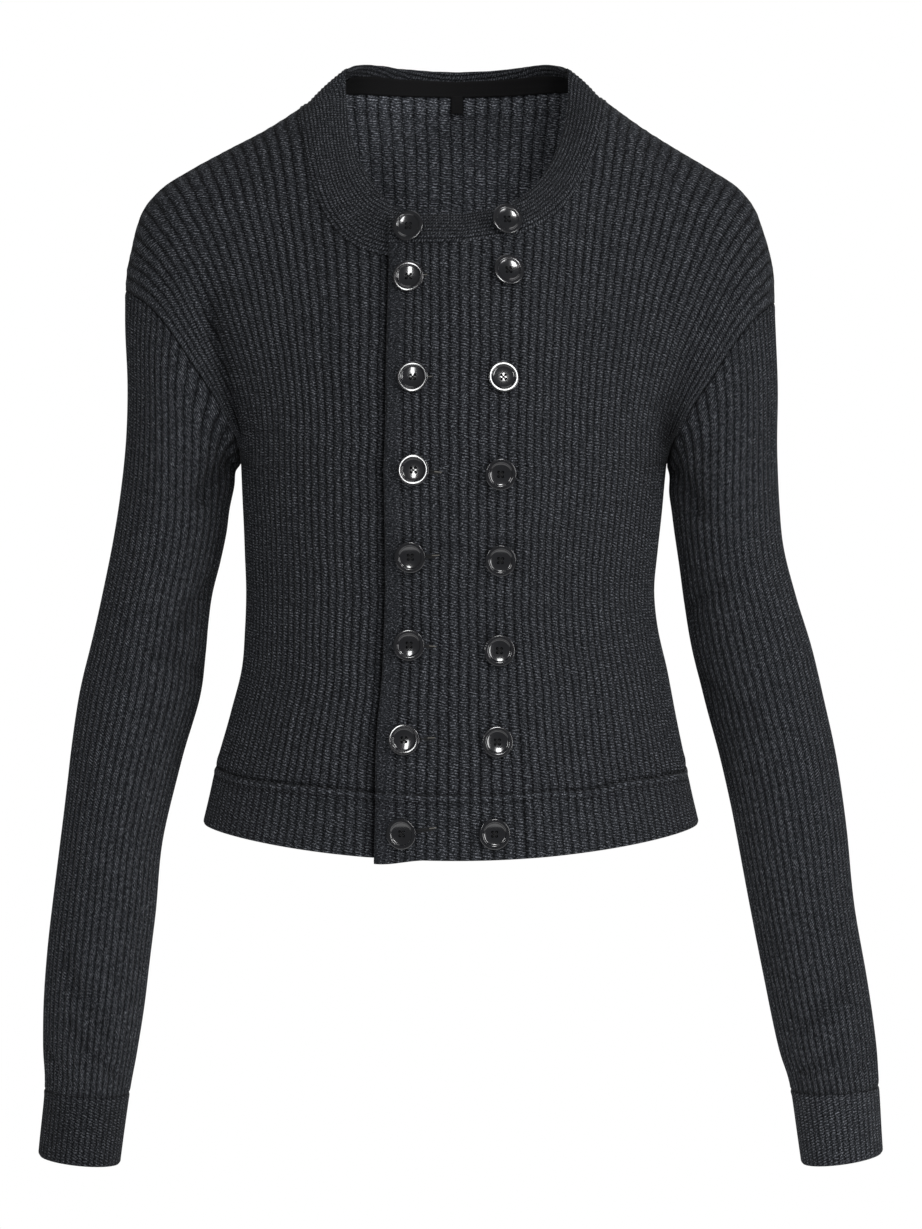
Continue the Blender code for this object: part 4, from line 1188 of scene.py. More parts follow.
def sleeve_point(side, k, turn):
    """Outer surface of a sleeve at ring k, starting under the panels."""
    turned = sleeve_turn(side, turn, k)
    start = ring(side, 0.0, turned)
    down = unit(ring(side, 0.25, turned) - start)
    free = np.clip(k / UNDER_PANEL, 0, 1)[..., None]
    hidden = start + down * (STRAIGHT_RUN * k[..., None] - TUCK / 2)
    return hidden * (1 - free) + ring(side, k, turned) * free


def sleeve_folds(side, k, turn):
    """Depth of the creases, in mm."""
    total = np.zeros(np.broadcast(k, turn).shape)
    for turn0, k0, turn1, k1, depth, width in SLEEVE_FOLDS[side]:
        ends = (turn0 * TUBE_RADIUS, k0 * RING_LENGTH, turn1 * TUBE_RADIUS, k1 * RING_LENGTH)
        total += depth * near(line_distance(turn * TUBE_RADIUS, k * RING_LENGTH, *ends), width)
    return total


print([len(SLEEVE_FOLDS[side]) for side in (RIGHT, LEFT)], "creases")

# %% Ends of sleeves and cuffs
START_DEPTH = 0.2          # share of the ribs' depth where a sleeve starts
START_FROM, START_RUN = 2.0, 4             # mm from there where they start to grow full, and over which
END_RUN = 4                # mm over which they flatten again above the cuff
SIDES_SINK = 0.3           # share of a start's puff, sinking and painted shade at a sleeve's inner and outer edge
SLEEVE_PUFF = ((5.0, 2.4, 0.45),)          # mm from its start, half width, height
START_RISE, CUFF_RISE = (0.4, 3.4), (0.8, 2.8)     # mm from an end where it rises again, and over which
START_DARK, END_DARK = (1.6, 1.8, 0.42), (0.5, 1.2, 0.3)      # painted shade by the seams: mm from an end, half width, how much darker
CUFF_TUCK_DEPTH = 1.3      # how deep a sleeve's end lies in its cuff, mm
CUFF_FROM, CUFF_RUN = 1.5, 3               # mm from a cuff's seam where its ribs start, and over which
CUFF_ROLL = ((1.8, 1.3, 0.25), (0.0, 0.6, -0.35))  # mm from its seam, half width, height
CUFF_TONE = 0.94           # brightness of a cuff against its sleeve
CUFF_LINE, CUFF_LINE_HALF = 0.2, 1.0       # painted shade: how much darker it is at its seam
CUFF_SHADE = {RIGHT: 0.77, LEFT: 1.26}     # painted shade on the right cuff and painted light on the left one, for how the light falls on each


def sleeve_edges(v, to_end, turn):
    """Flattening, puff and painted shade of a sleeve. It starts under the panels' edge and ends in the cuff.
    """
    grown = START_DEPTH + (1 - START_DEPTH) * smooth((v - START_FROM) / START_RUN)
    flat = np.minimum(grown, smooth((to_end - TUCK) / END_RUN))
    facing = SIDES_SINK + (1 - SIDES_SINK) * np.sin(turn) ** 2
    puff = facing * (bumps(v, SLEEVE_PUFF) - TUCK_DEPTH * (1 - smooth((v - START_RISE[0]) / START_RISE[1])))
    puff = puff - CUFF_TUCK_DEPTH * (1 - smooth((to_end - CUFF_RISE[0]) / CUFF_RISE[1]))
    shade = 1 - facing * bumps(v, (START_DARK,)) - bumps(to_end - TUCK, (END_DARK,))
    return flat, puff, shade


def cuff_edges(v, to_end, turn):
    """Flattening, puff and painted shade of a cuff, whose lower edge is rounded over."""
    flat = np.minimum(smooth((v - CUFF_FROM) / CUFF_RUN), smooth(to_end / CUFF_RUN))
    puff = bumps(v, CUFF_ROLL) - EDGE_ROUND * near(to_end, EDGE_HALF)
    return flat, puff, CUFF_TONE - CUFF_LINE * near(v, CUFF_LINE_HALF)


print("cuffs' shade", CUFF_SHADE)

# %% Sleeves and cuffs
SLEEVE_RIBS = 44
SLEEVE_STEPS = 6           # grid columns a rib
SLEEVE_ROWS = 112
SLEEVE_DEPTH = RIB_DEPTH * 0.9
CUFF_SEAM, CUFF_EDGE = 14.0, 15.0          # rings where a cuff begins and ends
CUFF_GAP = 0.01
CUFF_ROWS = 13
RING_STEP = 0.01           # step in rings or radians for reading a sleeve's direction
FOLD_DARK, FOLD_FULL = 0.16, 2             # painted shade: darkening to a mm of a crease, and the depth where it ends
FOLD_START = 12            # mm from a tube's start over which the creases begin
SLEEVE_SWELL = 0.8         # share of the panels' swelling


def tube(name, side, k, depth, materials, replaced, edges, tint=1.0):
    """Knitted tube over rings k of a sleeve. edges shapes it by length from both ends and by turn."""
    count = np.arange(SLEEVE_RIBS * SLEEVE_STEPS + 1) / SLEEVE_STEPS
    k_grid, turn = np.broadcast_arrays(k[:, None], (count / SLEEVE_RIBS * 2 * math.pi)[None, :])
    points = sleeve_point(side, k_grid, turn)
    across = sleeve_point(side, k_grid, turn + RING_STEP) - sleeve_point(side, k_grid, turn - RING_STEP)
    lower = np.minimum(k_grid + RING_STEP, CUFF_EDGE)
    down = sleeve_point(side, lower, turn) - sleeve_point(side, lower - 2 * RING_STEP, turn)
    v = lengths(points)
    flat, puff, shade = edges(v, v[-1] - v, turn)
    folds = sleeve_folds(side, k_grid, turn) * smooth(v / FOLD_START)
    # Painted shade in the creases and under the arm; for the cuffs, tint adds their painted light and shade.
    shade = shade * tint * (1 - FOLD_DARK * np.minimum(folds, FOLD_FULL)) * underarm_shade(points)
    move = puff - depth * rib_wave(count) * flat - folds + swell(points) * SLEEVE_SWELL * flat
    points = points + unit(np.cross(across, down)) * -side * move[..., None]
    mesh = grid_mesh(name, points, knit_uv(count, v), shade, closed=True, flip=side == LEFT)
    return thicken(add_piece(name, mesh, materials, [replaced]), WALL)


near_armhole = np.array((0.0, 0.02, 0.05, 0.085, 0.12, 0.17))
near_cuff = np.array((-0.09, -0.06, -0.03, 0.0, 0.03, TUCK / RING_LENGTH))
sleeve_k = np.concatenate((near_armhole, np.linspace(near_armhole[-1], CUFF_SEAM - 0.12, SLEEVE_ROWS)[1:],
                           CUFF_SEAM + near_cuff))
cuff_k = np.concatenate((CUFF_SEAM + np.array((CUFF_GAP, 0.03, 0.05, 0.075, 0.11)),
                         np.linspace(CUFF_SEAM + 0.15, CUFF_EDGE - 0.06, CUFF_ROWS),
                         CUFF_EDGE - np.array((0.035, 0.018, 0.008, 0.0))))
sleeves, cuffs = {}, {}
for side, word in ((RIGHT, "right"), (LEFT, "left")):
    sleeves[side] = tube(f"sleeve_{word}_knit", side, sleeve_k, SLEEVE_DEPTH, RIB_KNIT,
                         f"sleeve_{word}", sleeve_edges)
    cuffs[side] = tube(f"cuff_{word}_knit", side, cuff_k, BAND_DEPTH, BAND_KNIT,
                       f"cuff_{word}", cuff_edges, CUFF_SHADE[side])
    print(word, triangles(sleeves[side]), triangles(cuffs[side]), "triangles")

# %% [markdown]
# ## Neckband
#
# The neckband is a strip knitted along its length, folded double over its top edge and linked to the
# neckline. Its fine ribs run round the neck. A curve with a bevel would give a round cord, so it is
# a grid again: rows go up the outside, round the fold and down the inside.

# %% Top edge of the neckband
BAND_HALF = 72.5           # half the width of the opening inside the band, mm
BAND_SIDE_Z = 0.0          # height of its top edge beside the neck
BAND_FRONT_Z = {RIGHT: -102.0, LEFT: -97.0}            # and in front
BAND_FRONT_Y, BAND_BACK_Y = -66.0, 56.0                # how far it reaches in front and behind
BAND_BACK_POWER, BAND_EXPONENT = 0.9, 2.4              # how square the opening is behind and in front
EDGE_STEPS = 240           # places along a quarter of the neck where seam and top edge are compared
BACK_RISE = np.array((     # the band stands highest where it turns from the side to the back
    # share of the half width, height above the shoulder point
    (0, 0.6), (0.22, 1.3), (0.39, 1.9), (0.56, 2.9), (0.73, 4.5), (0.87, 4.3), (0.94, 3.0), (1, 0),
))
EDGE_TABLES = {}           # shares of the seam's and of the top edge's length, by piece


def band_edge(s, piece):
    """Top edge of the neckband opposite the neckline point of column s."""
    return edge_at(s, edge_share(s, piece), piece)


def edge_share(s, piece):
    """Place along the top edge straight across the band from column s: both are measured by length."""
    if piece.__name__ not in EDGE_TABLES:
        share = np.sin(np.linspace(0, math.pi / 2, EDGE_STEPS))
        own = RIGHT if piece is right_front else LEFT
        seam = neck_seam(own * NECK_POINT_S[own] * share, piece)
        edge = edge_at(own * NECK_POINT_S[own] * share, share, piece)
        EDGE_TABLES[piece.__name__] = share, along(seam), along(edge)
    share, on_seam, on_edge = EDGE_TABLES[piece.__name__]
    return np.interp(np.interp(neck_share(s, piece), share, on_seam), on_edge, share)


def edge_at(s, share, piece):
    """Top edge at a share of its way from the middle to the shoulder point."""
    side = RIGHT if piece is right_front else LEFT
    if piece is back:
        sine = np.sqrt(1 - share**2)
        wide = share**BAND_BACK_POWER
        rise = curve(BACK_RISE[:, 0], BACK_RISE[:, 1], wide)
        return np.stack((np.sign(s) * BAND_HALF * wide, BAND_BACK_Y * sine, BAND_SIDE_Z + rise), -1)
    seam = neck_seam(s, piece)
    middle = neck_seam(np.zeros_like(s), piece)
    cosine = share ** (NECKLINE[side][1] / 2)
    sine = np.sqrt(1 - cosine**2)
    past = side * s < 0
    x = np.where(past, seam[..., 0], side * BAND_HALF * cosine ** (2 / BAND_EXPONENT))
    y = BAND_FRONT_Y * sine + np.where(past, seam[..., 1] - middle[..., 1], 0)
    if piece is left_front:
        y = y - lap(s)
    z = BAND_SIDE_Z + (BAND_FRONT_Z[side] - BAND_SIDE_Z) * sine ** (2 / BAND_EXPONENT)
    return np.stack((x, y, z), -1)


# %% Surface of the neckband
BAND_BULGE = 0.9           # how far the band bulges between its seam and its top edge, mm
BAND_FLAT = 0.1            # share of its width that lies flat beside the seam


def band_point(s, w, piece):
    """Outer surface of the neckband over all its columns s: w from 0 at the seam to 1 at the top edge."""
    seam, edge = neck_seam(s, piece), band_edge(s, piece)
    tangent = unit(np.gradient(seam, axis=0))
    h = neck_h(s, piece) - 2 * STEP
    normal = np.cross(piece(s + STEP, h) - piece(s - STEP, h), piece(s, h + STEP) - piece(s, h - STEP))
    if piece is back:
        normal = -normal
    away = unit(np.cross(unit(normal), tangent))
    away = away * np.sign(np.sum(away * (edge - seam), -1, keepdims=True))
    w = np.broadcast_to(np.asarray(w, float), s.shape)[..., None]
    width = np.linalg.norm(edge - seam, axis=-1, keepdims=True)
    start = seam + away * BAND_FLAT * width
    t = np.clip((w - BAND_FLAT) / (1 - BAND_FLAT), 0, 1)
    out = unit(np.cross(edge - start, tangent))
    out = out * np.sign(np.sum(out * normal, -1, keepdims=True))
    rest = start + t * (edge - start) + out * BAND_BULGE * np.sin(math.pi * t)
    return np.where(w < BAND_FLAT, seam + away * w * width, rest)


middle_back = np.linspace(-0.01, 0.01, 3)
band_width = np.linalg.norm(band_edge(middle_back, back) - neck_seam(middle_back, back), axis=-1)
print("band", band_width[1].round(1), "mm wide behind")

# %% Rows of the neckband
FOLD_RADIUS = 1.9          # half the thickness of the doubled band
NECK_STEPS = 58            # grid columns along each quarter of the neck
NECK_FINE = 600            # steps for spacing them evenly
OUT_ROWS, FOLD_ROWS, IN_ROWS = 54, 9, 18
IN_END = 0.34              # w at which the inner layer ends; behind, the tape covers its end
IN_END_BACK = 0.54
UNDER_COLUMNS, OVER_COLUMNS = 22, 34       # grid columns of the band's hidden end and of its free end
MIDDLE_GAP = 0.02          # s or radians left free beside the middle, where two stretches meet
UNDER_START, OVER_START = 0.22, 0.36       # radians from the middle where the even spacing starts in front


def neck_columns(piece, side, start):
    """Columns s along the neckline of a piece, evenly spaced along it, up to the shoulder point."""
    bottom, power = neckline(side, piece)
    turns = math.pi / 2 - (math.pi / 2 - start) * np.linspace(1, 0, NECK_FINE) ** 3
    wide, top = SHOULDER[side][NECK_POINT_ROW]
    line = np.stack((wide * np.sin(turns) ** (2 / power), (top - bottom) * np.cos(turns) ** (2 / power)), -1)
    at = np.interp(np.linspace(0, 1, NECK_STEPS), along(line), turns)
    return side * NECK_POINT_S[side] * np.sin(at) ** (2 / power)


def strip(s, piece):
    """Rows of one stretch of the band, from its lower edge up, over the fold and down inside."""
    width = np.linalg.norm(band_edge(s, piece) - neck_seam(s, piece), axis=-1)
    top, low = 1 - FOLD_RADIUS / width, -OVERLAP / width
    rows = [band_point(s, low + (top - low) * share, piece) for share in np.linspace(0, 1, OUT_ROWS)]
    rise = unit(rows[-1] - band_point(s, top - STEP, piece))
    out = unit(np.cross(rise, np.gradient(rows[-1], axis=0)))
    for turn in np.linspace(0, math.pi, FOLD_ROWS + 1)[1:]:
        rows.append(rows[OUT_ROWS - 1] + FOLD_RADIUS * (rise * math.sin(turn) - out * (1 - math.cos(turn))))
    inner = rows[-1] - rows[OUT_ROWS - 1]
    end = IN_END_BACK if piece is back else IN_END
    for share in np.linspace(0, 1, IN_ROWS)[1:]:
        rows.append(band_point(s, top + share * (end - top), piece) + inner)
    return np.array(rows)


hidden_end = np.linspace(HIDDEN_EDGE, MIDDLE_GAP / 2, UNDER_COLUMNS)
free_end = np.linspace(MIDDLE_GAP, float(drawn_in(FREE_EDGE, NECK_LEVEL, left_front)), OVER_COLUMNS)
under_s = np.concatenate((hidden_end, neck_columns(right_front, RIGHT, UNDER_START)))
behind_s = np.concatenate((neck_columns(back, RIGHT, MIDDLE_GAP)[-2::-1],
                           neck_columns(back, LEFT, MIDDLE_GAP)[:-1]))
over_s = np.concatenate((neck_columns(left_front, LEFT, OVER_START)[::-1], free_end))
stretches = ((under_s, right_front), (behind_s, back), (over_s, left_front))
band_grid = np.concatenate([strip(s, piece) for s, piece in stretches], axis=1)
print("neckband grid", band_grid.shape)

# %% Neckband mesh
BAND_WALL = 1.5
BAND_RIB, BAND_RIB_DEPTH = 3.0, 0.5        # spacing and depth of its fine ribs, mm
LOWER_LIFT, LIFT_RUN = 0.6, 5.0            # how far its lower edge stands off the panels, over what length
RIBS_START = 1.5           # mm from the lower edge where its ribs start, and over which they grow full
LOWER_ROUND, LOWER_HALF = 0.7, 0.8         # how far its lower edge is rounded over, and over what length, mm


def grid_normals(points):
    """Direction across a grid's columns and rows, by differences between neighbours."""
    return unit(np.cross(np.gradient(points, axis=1), np.gradient(points, axis=0)))


v = lengths(band_grid)
length_along = travelled(band_grid[OUT_ROWS // 2])
ribs_up = v / BAND_RIB
move = -BAND_RIB_DEPTH * rib_wave(ribs_up) * smooth((v - RIBS_START) / RIBS_START)
move += LOWER_LIFT * (1 - smooth((v - OVERLAP) / LIFT_RUN)) - LOWER_ROUND * near(v, LOWER_HALF)
band_grid = band_grid - grid_normals(band_grid) * move[..., None]
band_uv = np.stack((ribs_up + FIRST_RIB, np.broadcast_to(length_along, v.shape)), -1)
mesh = grid_mesh("neckband_knit", band_grid, band_uv, flip=True)
neckband = thicken(add_piece("neckband_knit", mesh, COLLAR_KNIT, ["neckband"]), BAND_WALL, 0)
print("neckband", round(length_along[-1]), "mm long,", triangles(neckband), "triangles")

# %% [markdown]
# ## Back neck tape and label tab
#
# Inside the back of the neck a woven tape covers the linked seam. It is a strip of the same grid kind,
# a few tenths of a millimetre inside the band, sewn along both edges. Below it the back's own knit
# shows, with its ribs running straight on. The label is a short folded ribbon caught under the tape,
# left bare. Its section is a flat loop: down, round and up again.

# %% Back neck tape
TAPE_TOP, TAPE_BOTTOM = 0.78, 0.38         # w of its edges
TAPE_TURN = math.radians(76)               # how far round it reaches to each side
TAPE_COLUMNS, TAPE_ROWS = 90, 9
TAPE_DEPTH = 2 * FOLD_RADIUS + 0.35        # of its outer face below the band's outer surface, mm
TAPE_WALL = 0.7


def inside_band(s, w, depth):
    """Points inside the back of the band, at a depth in mm below its outer surface."""
    surface = band_point(s, w, back)
    rise = band_point(s, w + STEP, back) - band_point(s, w - STEP, back)
    return surface + unit(np.cross(np.gradient(surface, axis=0), rise)) * np.asarray(depth)[..., None]


def woven(name, points, across, wall, replaced, flip=False):
    """Woven strip over a grid of points. across is the place of each column along the strip, in mm."""
    uv = np.stack((np.broadcast_to(across, points.shape[:2]), lengths(points)), -1)
    mesh = grid_mesh(name, points, uv, flip=flip)
    return thicken(add_piece(name, mesh, [TWILL_TAPE], [replaced]), wall, 0)


tape_s = NECK_POINT_S[LEFT] * np.sin(np.linspace(-TAPE_TURN, TAPE_TURN, TAPE_COLUMNS))
tape_points = np.array([inside_band(tape_s, w, np.full_like(tape_s, TAPE_DEPTH))
                        for w in np.linspace(TAPE_BOTTOM, TAPE_TOP, TAPE_ROWS)])
tape_along = travelled(tape_points[TAPE_ROWS // 2])
tape = woven("back_neck_tape_woven", tape_points, tape_along, TAPE_WALL, "back_neck_tape", flip=True)
print("tape", round(tape_along[-1]), "mm")

# %% The back's own knit inside the band
FACING_SPAN = (-0.16, 0.50)        # w over which it lies, from below the seam to behind the tape
FACING_REACH = 0.80                # how far to each side, as a share of the way to the shoulder point
FACING_ROWS, FACING_WALL = 12, 0.6
FACING_OUT = 0.5                   # its face starts this much outside the panel's inner face, mm
FACING_IN = ((FACING_SPAN[0], 0.09, 0.62), (-0.1, 0.6, 0.7))   # w where it moves inward, run in w, mm
LEAN_DROP = 0.06                   # h below the neckline from which the ribs' slant is read
LINE_STEPS = 200


def carried_up(s, w, lean, line_s):
    """Columns at w whose ribs run straight on from where columns s end at the neckline."""
    seam = neck_seam(s, back)
    target = seam[:, 0] + lean * (band_point(s, w, back)[:, 2] - seam[:, 2])
    return np.interp(target, band_point(line_s, w, back)[:, 0], line_s)


neck_limit = np.where(BACK_COLUMNS[0] < 0, NECK_POINT_S[RIGHT], NECK_POINT_S[LEFT])
inner_s, inner_count = [row[np.abs(BACK_COLUMNS[0]) < FACING_REACH * neck_limit] for row in BACK_COLUMNS]
inner_relief = RIB_DEPTH * rib_wave(inner_count)
rise = neck_seam(inner_s, back) - back(inner_s, neck_h(inner_s, back) - LEAN_DROP)
inner_lean = rise[:, 0] / rise[:, 2]
line_s = np.linspace(-NECK_POINT_S[RIGHT], NECK_POINT_S[LEFT], LINE_STEPS)
inner_rows = []
for w in np.linspace(*FACING_SPAN, FACING_ROWS):
    depth = WALL - FACING_OUT + sum(move * smooth((w - start) / run) for start, run, move in FACING_IN)
    inner_rows.append(inside_band(carried_up(inner_s, w, inner_lean, line_s), w, depth + inner_relief))
inner_points = np.array(inner_rows)
mesh = grid_mesh("back_neck_facing_knit", inner_points, knit_uv(inner_count, lengths(inner_points)))
facing = thicken(add_piece("back_neck_facing_knit", mesh, RIB_KNIT[1:], []), FACING_WALL, 0)
print("knit inside the neck", triangles(facing), "triangles")

# %% Label tab
LABEL_SIZE = (8.0, 12.0)
LABEL_FOLD = 0.38          # radius of the fold at the label's lower end, mm
LABEL_COLUMNS, LABEL_ROWS, LABEL_TURNS = 9, 12, 7
LABEL_BOW, LABEL_WALL = 0.35, 0.22

label_low, label_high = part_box("neck_label")
label_middle = (label_low + label_high) / 2 / MM
label_x = np.linspace(-LABEL_SIZE[0] / 2, LABEL_SIZE[0] / 2, LABEL_COLUMNS)
half = LABEL_SIZE[1] / 2
run = [(LABEL_FOLD, z) for z in np.linspace(half, -half + LABEL_FOLD, LABEL_ROWS)]
run += [(LABEL_FOLD * math.cos(a), -half + LABEL_FOLD - LABEL_FOLD * math.sin(a))
        for a in np.linspace(0, math.pi, LABEL_TURNS)[1:-1]]
run += [(-LABEL_FOLD, z) for z in np.linspace(-half + LABEL_FOLD, half, LABEL_ROWS)]
bow = LABEL_BOW * (1 - (2 * label_x / LABEL_SIZE[0]) ** 2)
label_points = np.array([[(x + label_middle.x, y - b + label_middle.y, z + label_middle.z)
                          for x, b in zip(label_x, bow)] for y, z in run])
label = woven("neck_label_ribbon", label_points, label_x, LABEL_WALL, "neck_label")
print("label at", label_middle.to_tuple(1))

# %% [markdown]
# ## Buttons
#
# Each button is turned: a profile spun about its axis, with a rounded back, a raised rim, a groove
# inside the rim and a shallow dish in the middle. The four holes are drilled with a Boolean. The
# profile has many points near the middle, so that the holes only disturb small faces and the polish
# stays clean. One mesh serves for all sixteen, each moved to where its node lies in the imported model.

# %% Button mesh
BUTTON_PROFILE = (
    # radius, height
    (0.0, 0.15), (4.0, 0.1), (7.6, 0.0), (8.9, 0.35), (9.6, 1.0), (9.93, 1.75), (10.0, 2.25),
    (9.98, 2.62), (9.9, 2.9), (9.76, 3.06), (9.5, 3.125), (8.6, 3.145), (7.85, 3.12), (7.55, 3.05),
    (7.36, 2.88), (7.22, 2.66), (7.06, 2.44), (6.85, 2.3), (6.55, 2.21), (6.15, 2.13), (5.6, 2.03),
    (4.8, 1.91), (4.0, 1.81), (3.2, 1.73), (2.4, 1.67), (1.6, 1.63), (0.8, 1.605), (0.0, 1.6),
)
BUTTON_SEGMENTS = 56
HOLE_RADIUS, HOLE_PITCH = 0.92, 2.7        # mm; the pitch is between neighbouring holes
HOLE_SIDES, DRILL_LENGTH = 20, 12
SHARP = math.radians(40)                   # edges sharper than this stay sharp


def spun(name, profile, segments):
    """Closed mesh of a profile of radius and height in mm, turned about Z."""
    bm = bmesh.new()
    rim = [bm.verts.new((r * MM, 0, h * MM)) for r, h in profile]
    for a, b in zip(rim, rim[1:]):
        bm.edges.new((a, b))
    bmesh.ops.spin(bm, geom=bm.verts[:] + bm.edges[:], cent=(0, 0, 0), axis=(0, 0, 1), dvec=(0, 0, 0),
                   angle=2 * math.pi, steps=segments, use_merge=True)
    bmesh.ops.remove_doubles(bm, verts=bm.verts, dist=MERGE)
    bmesh.ops.recalc_face_normals(bm, faces=bm.faces)
    return mesh_of(name, bm)


def drilled(blank):
    """Mesh of a blank with four holes through it."""
    bm = bmesh.new()
    for index in range(4):
        angle = math.radians(45 + 90 * index)
        place = Vector((math.cos(angle), math.sin(angle), 0)) * HOLE_PITCH / math.sqrt(2) * MM
        bmesh.ops.create_cone(bm, cap_ends=True, segments=HOLE_SIDES, radius1=HOLE_RADIUS * MM,
                              radius2=HOLE_RADIUS * MM, depth=DRILL_LENGTH * MM,
                              matrix=Matrix.Translation(place))
    drill = in_scene("drill", mesh_of("drill", bm))
    solid = in_scene("button_blank", blank)
    cut = solid.modifiers.new("holes", "BOOLEAN")
    cut.operation = "DIFFERENCE"
    cut.object = drill
    made = bpy.data.meshes.new_from_object(finished(solid))
    for one in (drill, solid):
        bpy.data.objects.remove(one, do_unlink=True)
    made.shade_smooth()
    made.set_sharp_from_angle(angle=SHARP)
    return made


button_mesh = drilled(spun("button_blank", BUTTON_PROFILE, BUTTON_SEGMENTS))
print("button", len(button_mesh.polygons), "faces")


# %% Buttons in place
def button_place(node_object):
    """Matrix that puts a button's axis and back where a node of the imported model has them."""
    points = np.array([v.co for v in node_object.data.vertices], float)
    middle = points.mean(0)
    facing = np.linalg.svd(points - middle, full_matrices=False)[2][2]
    facing = facing if facing[1] < 0 else -facing
    lowest = float(np.min((points - middle) @ facing))
    turn = Vector(facing).to_track_quat("Z", "Y").to_matrix().to_4x4()
    return Matrix.Translation(Vector(middle + facing * lowest)) @ turn


BUTTON_NAMES = [f"button_{word}_{row}" for word in ("right", "left") for row in range(1, 9)]
BUTTON_PLACES = {name: button_place(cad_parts[name]) for name in BUTTON_NAMES}

# How far each button leans on its thread, in degrees: to the wearer's left, and up.
BUTTON_LEANS = {
    "button_right_2": (0, -9), "button_right_4": (0, 10), "button_right_5": (1, 14),
    "button_right_6": (5, 1), "button_right_7": (5, 0), "button_left_4": (-2, 5),
    "button_left_5": (-2, 14), "button_left_6": (-1, 3),
}
LEAN_RISE = 4.0            # mm that a lean raises a button, times the sine of the lean, to clear the cloth
for name, (sideways, upwards) in BUTTON_LEANS.items():
    place = BUTTON_PLACES[name]
    lean = Matrix.Rotation(math.radians(sideways), 4, "Z") @ Matrix.Rotation(-math.radians(upwards), 4, "X")
    rise = LEAN_RISE * math.sin(math.radians(math.hypot(sideways, upwards))) * MM
    turned = lean @ place.to_3x3().to_4x4()
    BUTTON_PLACES[name] = Matrix.Translation(place.translation + turned.to_3x3().col[2] * rise) @ turned
for name in BUTTON_NAMES:
    own = button_mesh.copy()
    own.transform(BUTTON_PLACES[name])
    add_piece(f"{name}_polished", own, [BUTTON_BLACK], [name], smooth_shaded=False)
print(len(BUTTON_NAMES), "buttons")

# %% [markdown]
# ## Sewing thread and buttonholes
#
# Two strands cross between the four holes of each button. They are short arched curves, made round by
# a bevel and then turned into meshes. A buttonhole is a slit bound with thread, so it is a flat loop
# of thread, a dark strand inside it that paints the slit's shadow, and a pale end of thread, laid on
# the cloth where a ray from the front meets it.


# %% Thread
def strands(name, paths, radius, finish, sides=3, cyclic=False):
    """One piece made of round strands along paths of points in metres."""
    data = bpy.data.curves.new(name, "CURVE")
    data.dimensions = "3D"
    data.bevel_depth = radius * MM
    data.bevel_resolution = sides
    data.use_fill_caps = True
    for path in paths:
        spline = data.splines.new("POLY")
        spline.points.add(len(path) - 1)
        for point, place in zip(spline.points, path):
            point.co = (*place, 1.0)
        spline.use_cyclic_u = cyclic
    bare = in_scene(name, data)
    made = bpy.data.meshes.new_from_object(finished(bare))
    bpy.data.objects.remove(bare, do_unlink=True)
    return add_piece(name, made, [finish], [])


THREAD_RADIUS = 0.34
CROSS_REACH = HOLE_PITCH / math.sqrt(2)
CROSSINGS = {45: 0.25, 135: 0.55}          # direction of each strand in degrees, and its arch in mm
CROSS_SHAPE = (
    # share of its reach, height above the button's back in mm, share of its arch
    (-1.0, 0.6, 0), (-0.95, 1.7, 0), (-0.6, 1.75, 1), (0.0, 1.85, 1), (0.6, 1.75, 1), (0.95, 1.7, 0),
    (1.0, 0.6, 0),
)
cross_paths = []
for name in BUTTON_NAMES:
    for angle, arch in CROSSINGS.items():
        direction = Vector((math.cos(math.radians(angle)), math.sin(math.radians(angle)), 0))
        shape = [direction * CROSS_REACH * MM * x + Vector((0, 0, (z + share * arch) * MM))
                 for x, z, share in CROSS_SHAPE]
        cross_paths.append([BUTTON_PLACES[name] @ point for point in shape])
cross_threads = strands("button_cross_threads", cross_paths, THREAD_RADIUS, THREAD_AND_SLIT_SHADOW)
print("cross threads", triangles(cross_threads), "triangles")

# %% Buttonholes
SLIT_HALF = 8.5            # half the length of a buttonhole, mm
SLIT_REACH = (10.0, 10.5, 10.8, 16.5, 17.0, 16.0, 18.5, 20.5)    # far end from the button's middle, by row
SLIT_TILT = (0, 4, 0, -6, 2, -5, 3, 9)                           # degrees, by row
SLIT_SHARE = 0.93          # share of a buttonhole's length that the slit's painted shadow fills
BINDING_HALF, BINDING_SQUARE = 1.05, 0.45  # half the loop's width in mm, and how square its ends are
BINDING_POINTS, SLIT_POINTS = 28, 14
LOOSE_STEPS = (-3.4, -2.2, -1.1, 0.2, 1.3) # the loose end's places past the buttonhole's far end, mm
LOOSE_RISE = 0.5           # how far above the slit it lies
BINDING_LIFT, SLIT_LIFT, LOOSE_LIFT = 0.05, -0.1, 0.55           # how high each lies on the cloth, mm
BINDING_RADIUS, SLIT_RADIUS = 0.42, 0.62
RAY_START = -0.4           # y in metres from which rays meet the front
cloth_under = []
for piece in (front_left, hem_left, neckband):
    cloth_under.append(BVHTree.FromObject(piece, bpy.context.evaluated_depsgraph_get()))


def on_cloth(x, z, lift):
    """Point on the cloth straight behind a place on the front, lifted towards the viewer. Metres."""
    hits = [tree.ray_cast(Vector((x, RAY_START, z)), Vector((0, 1, 0)))[0] for tree in cloth_under]
    nearest = min((hit for hit in hits if hit is not None), key=lambda hit: hit.y)
    return Vector((x, nearest.y - lift * MM, z))


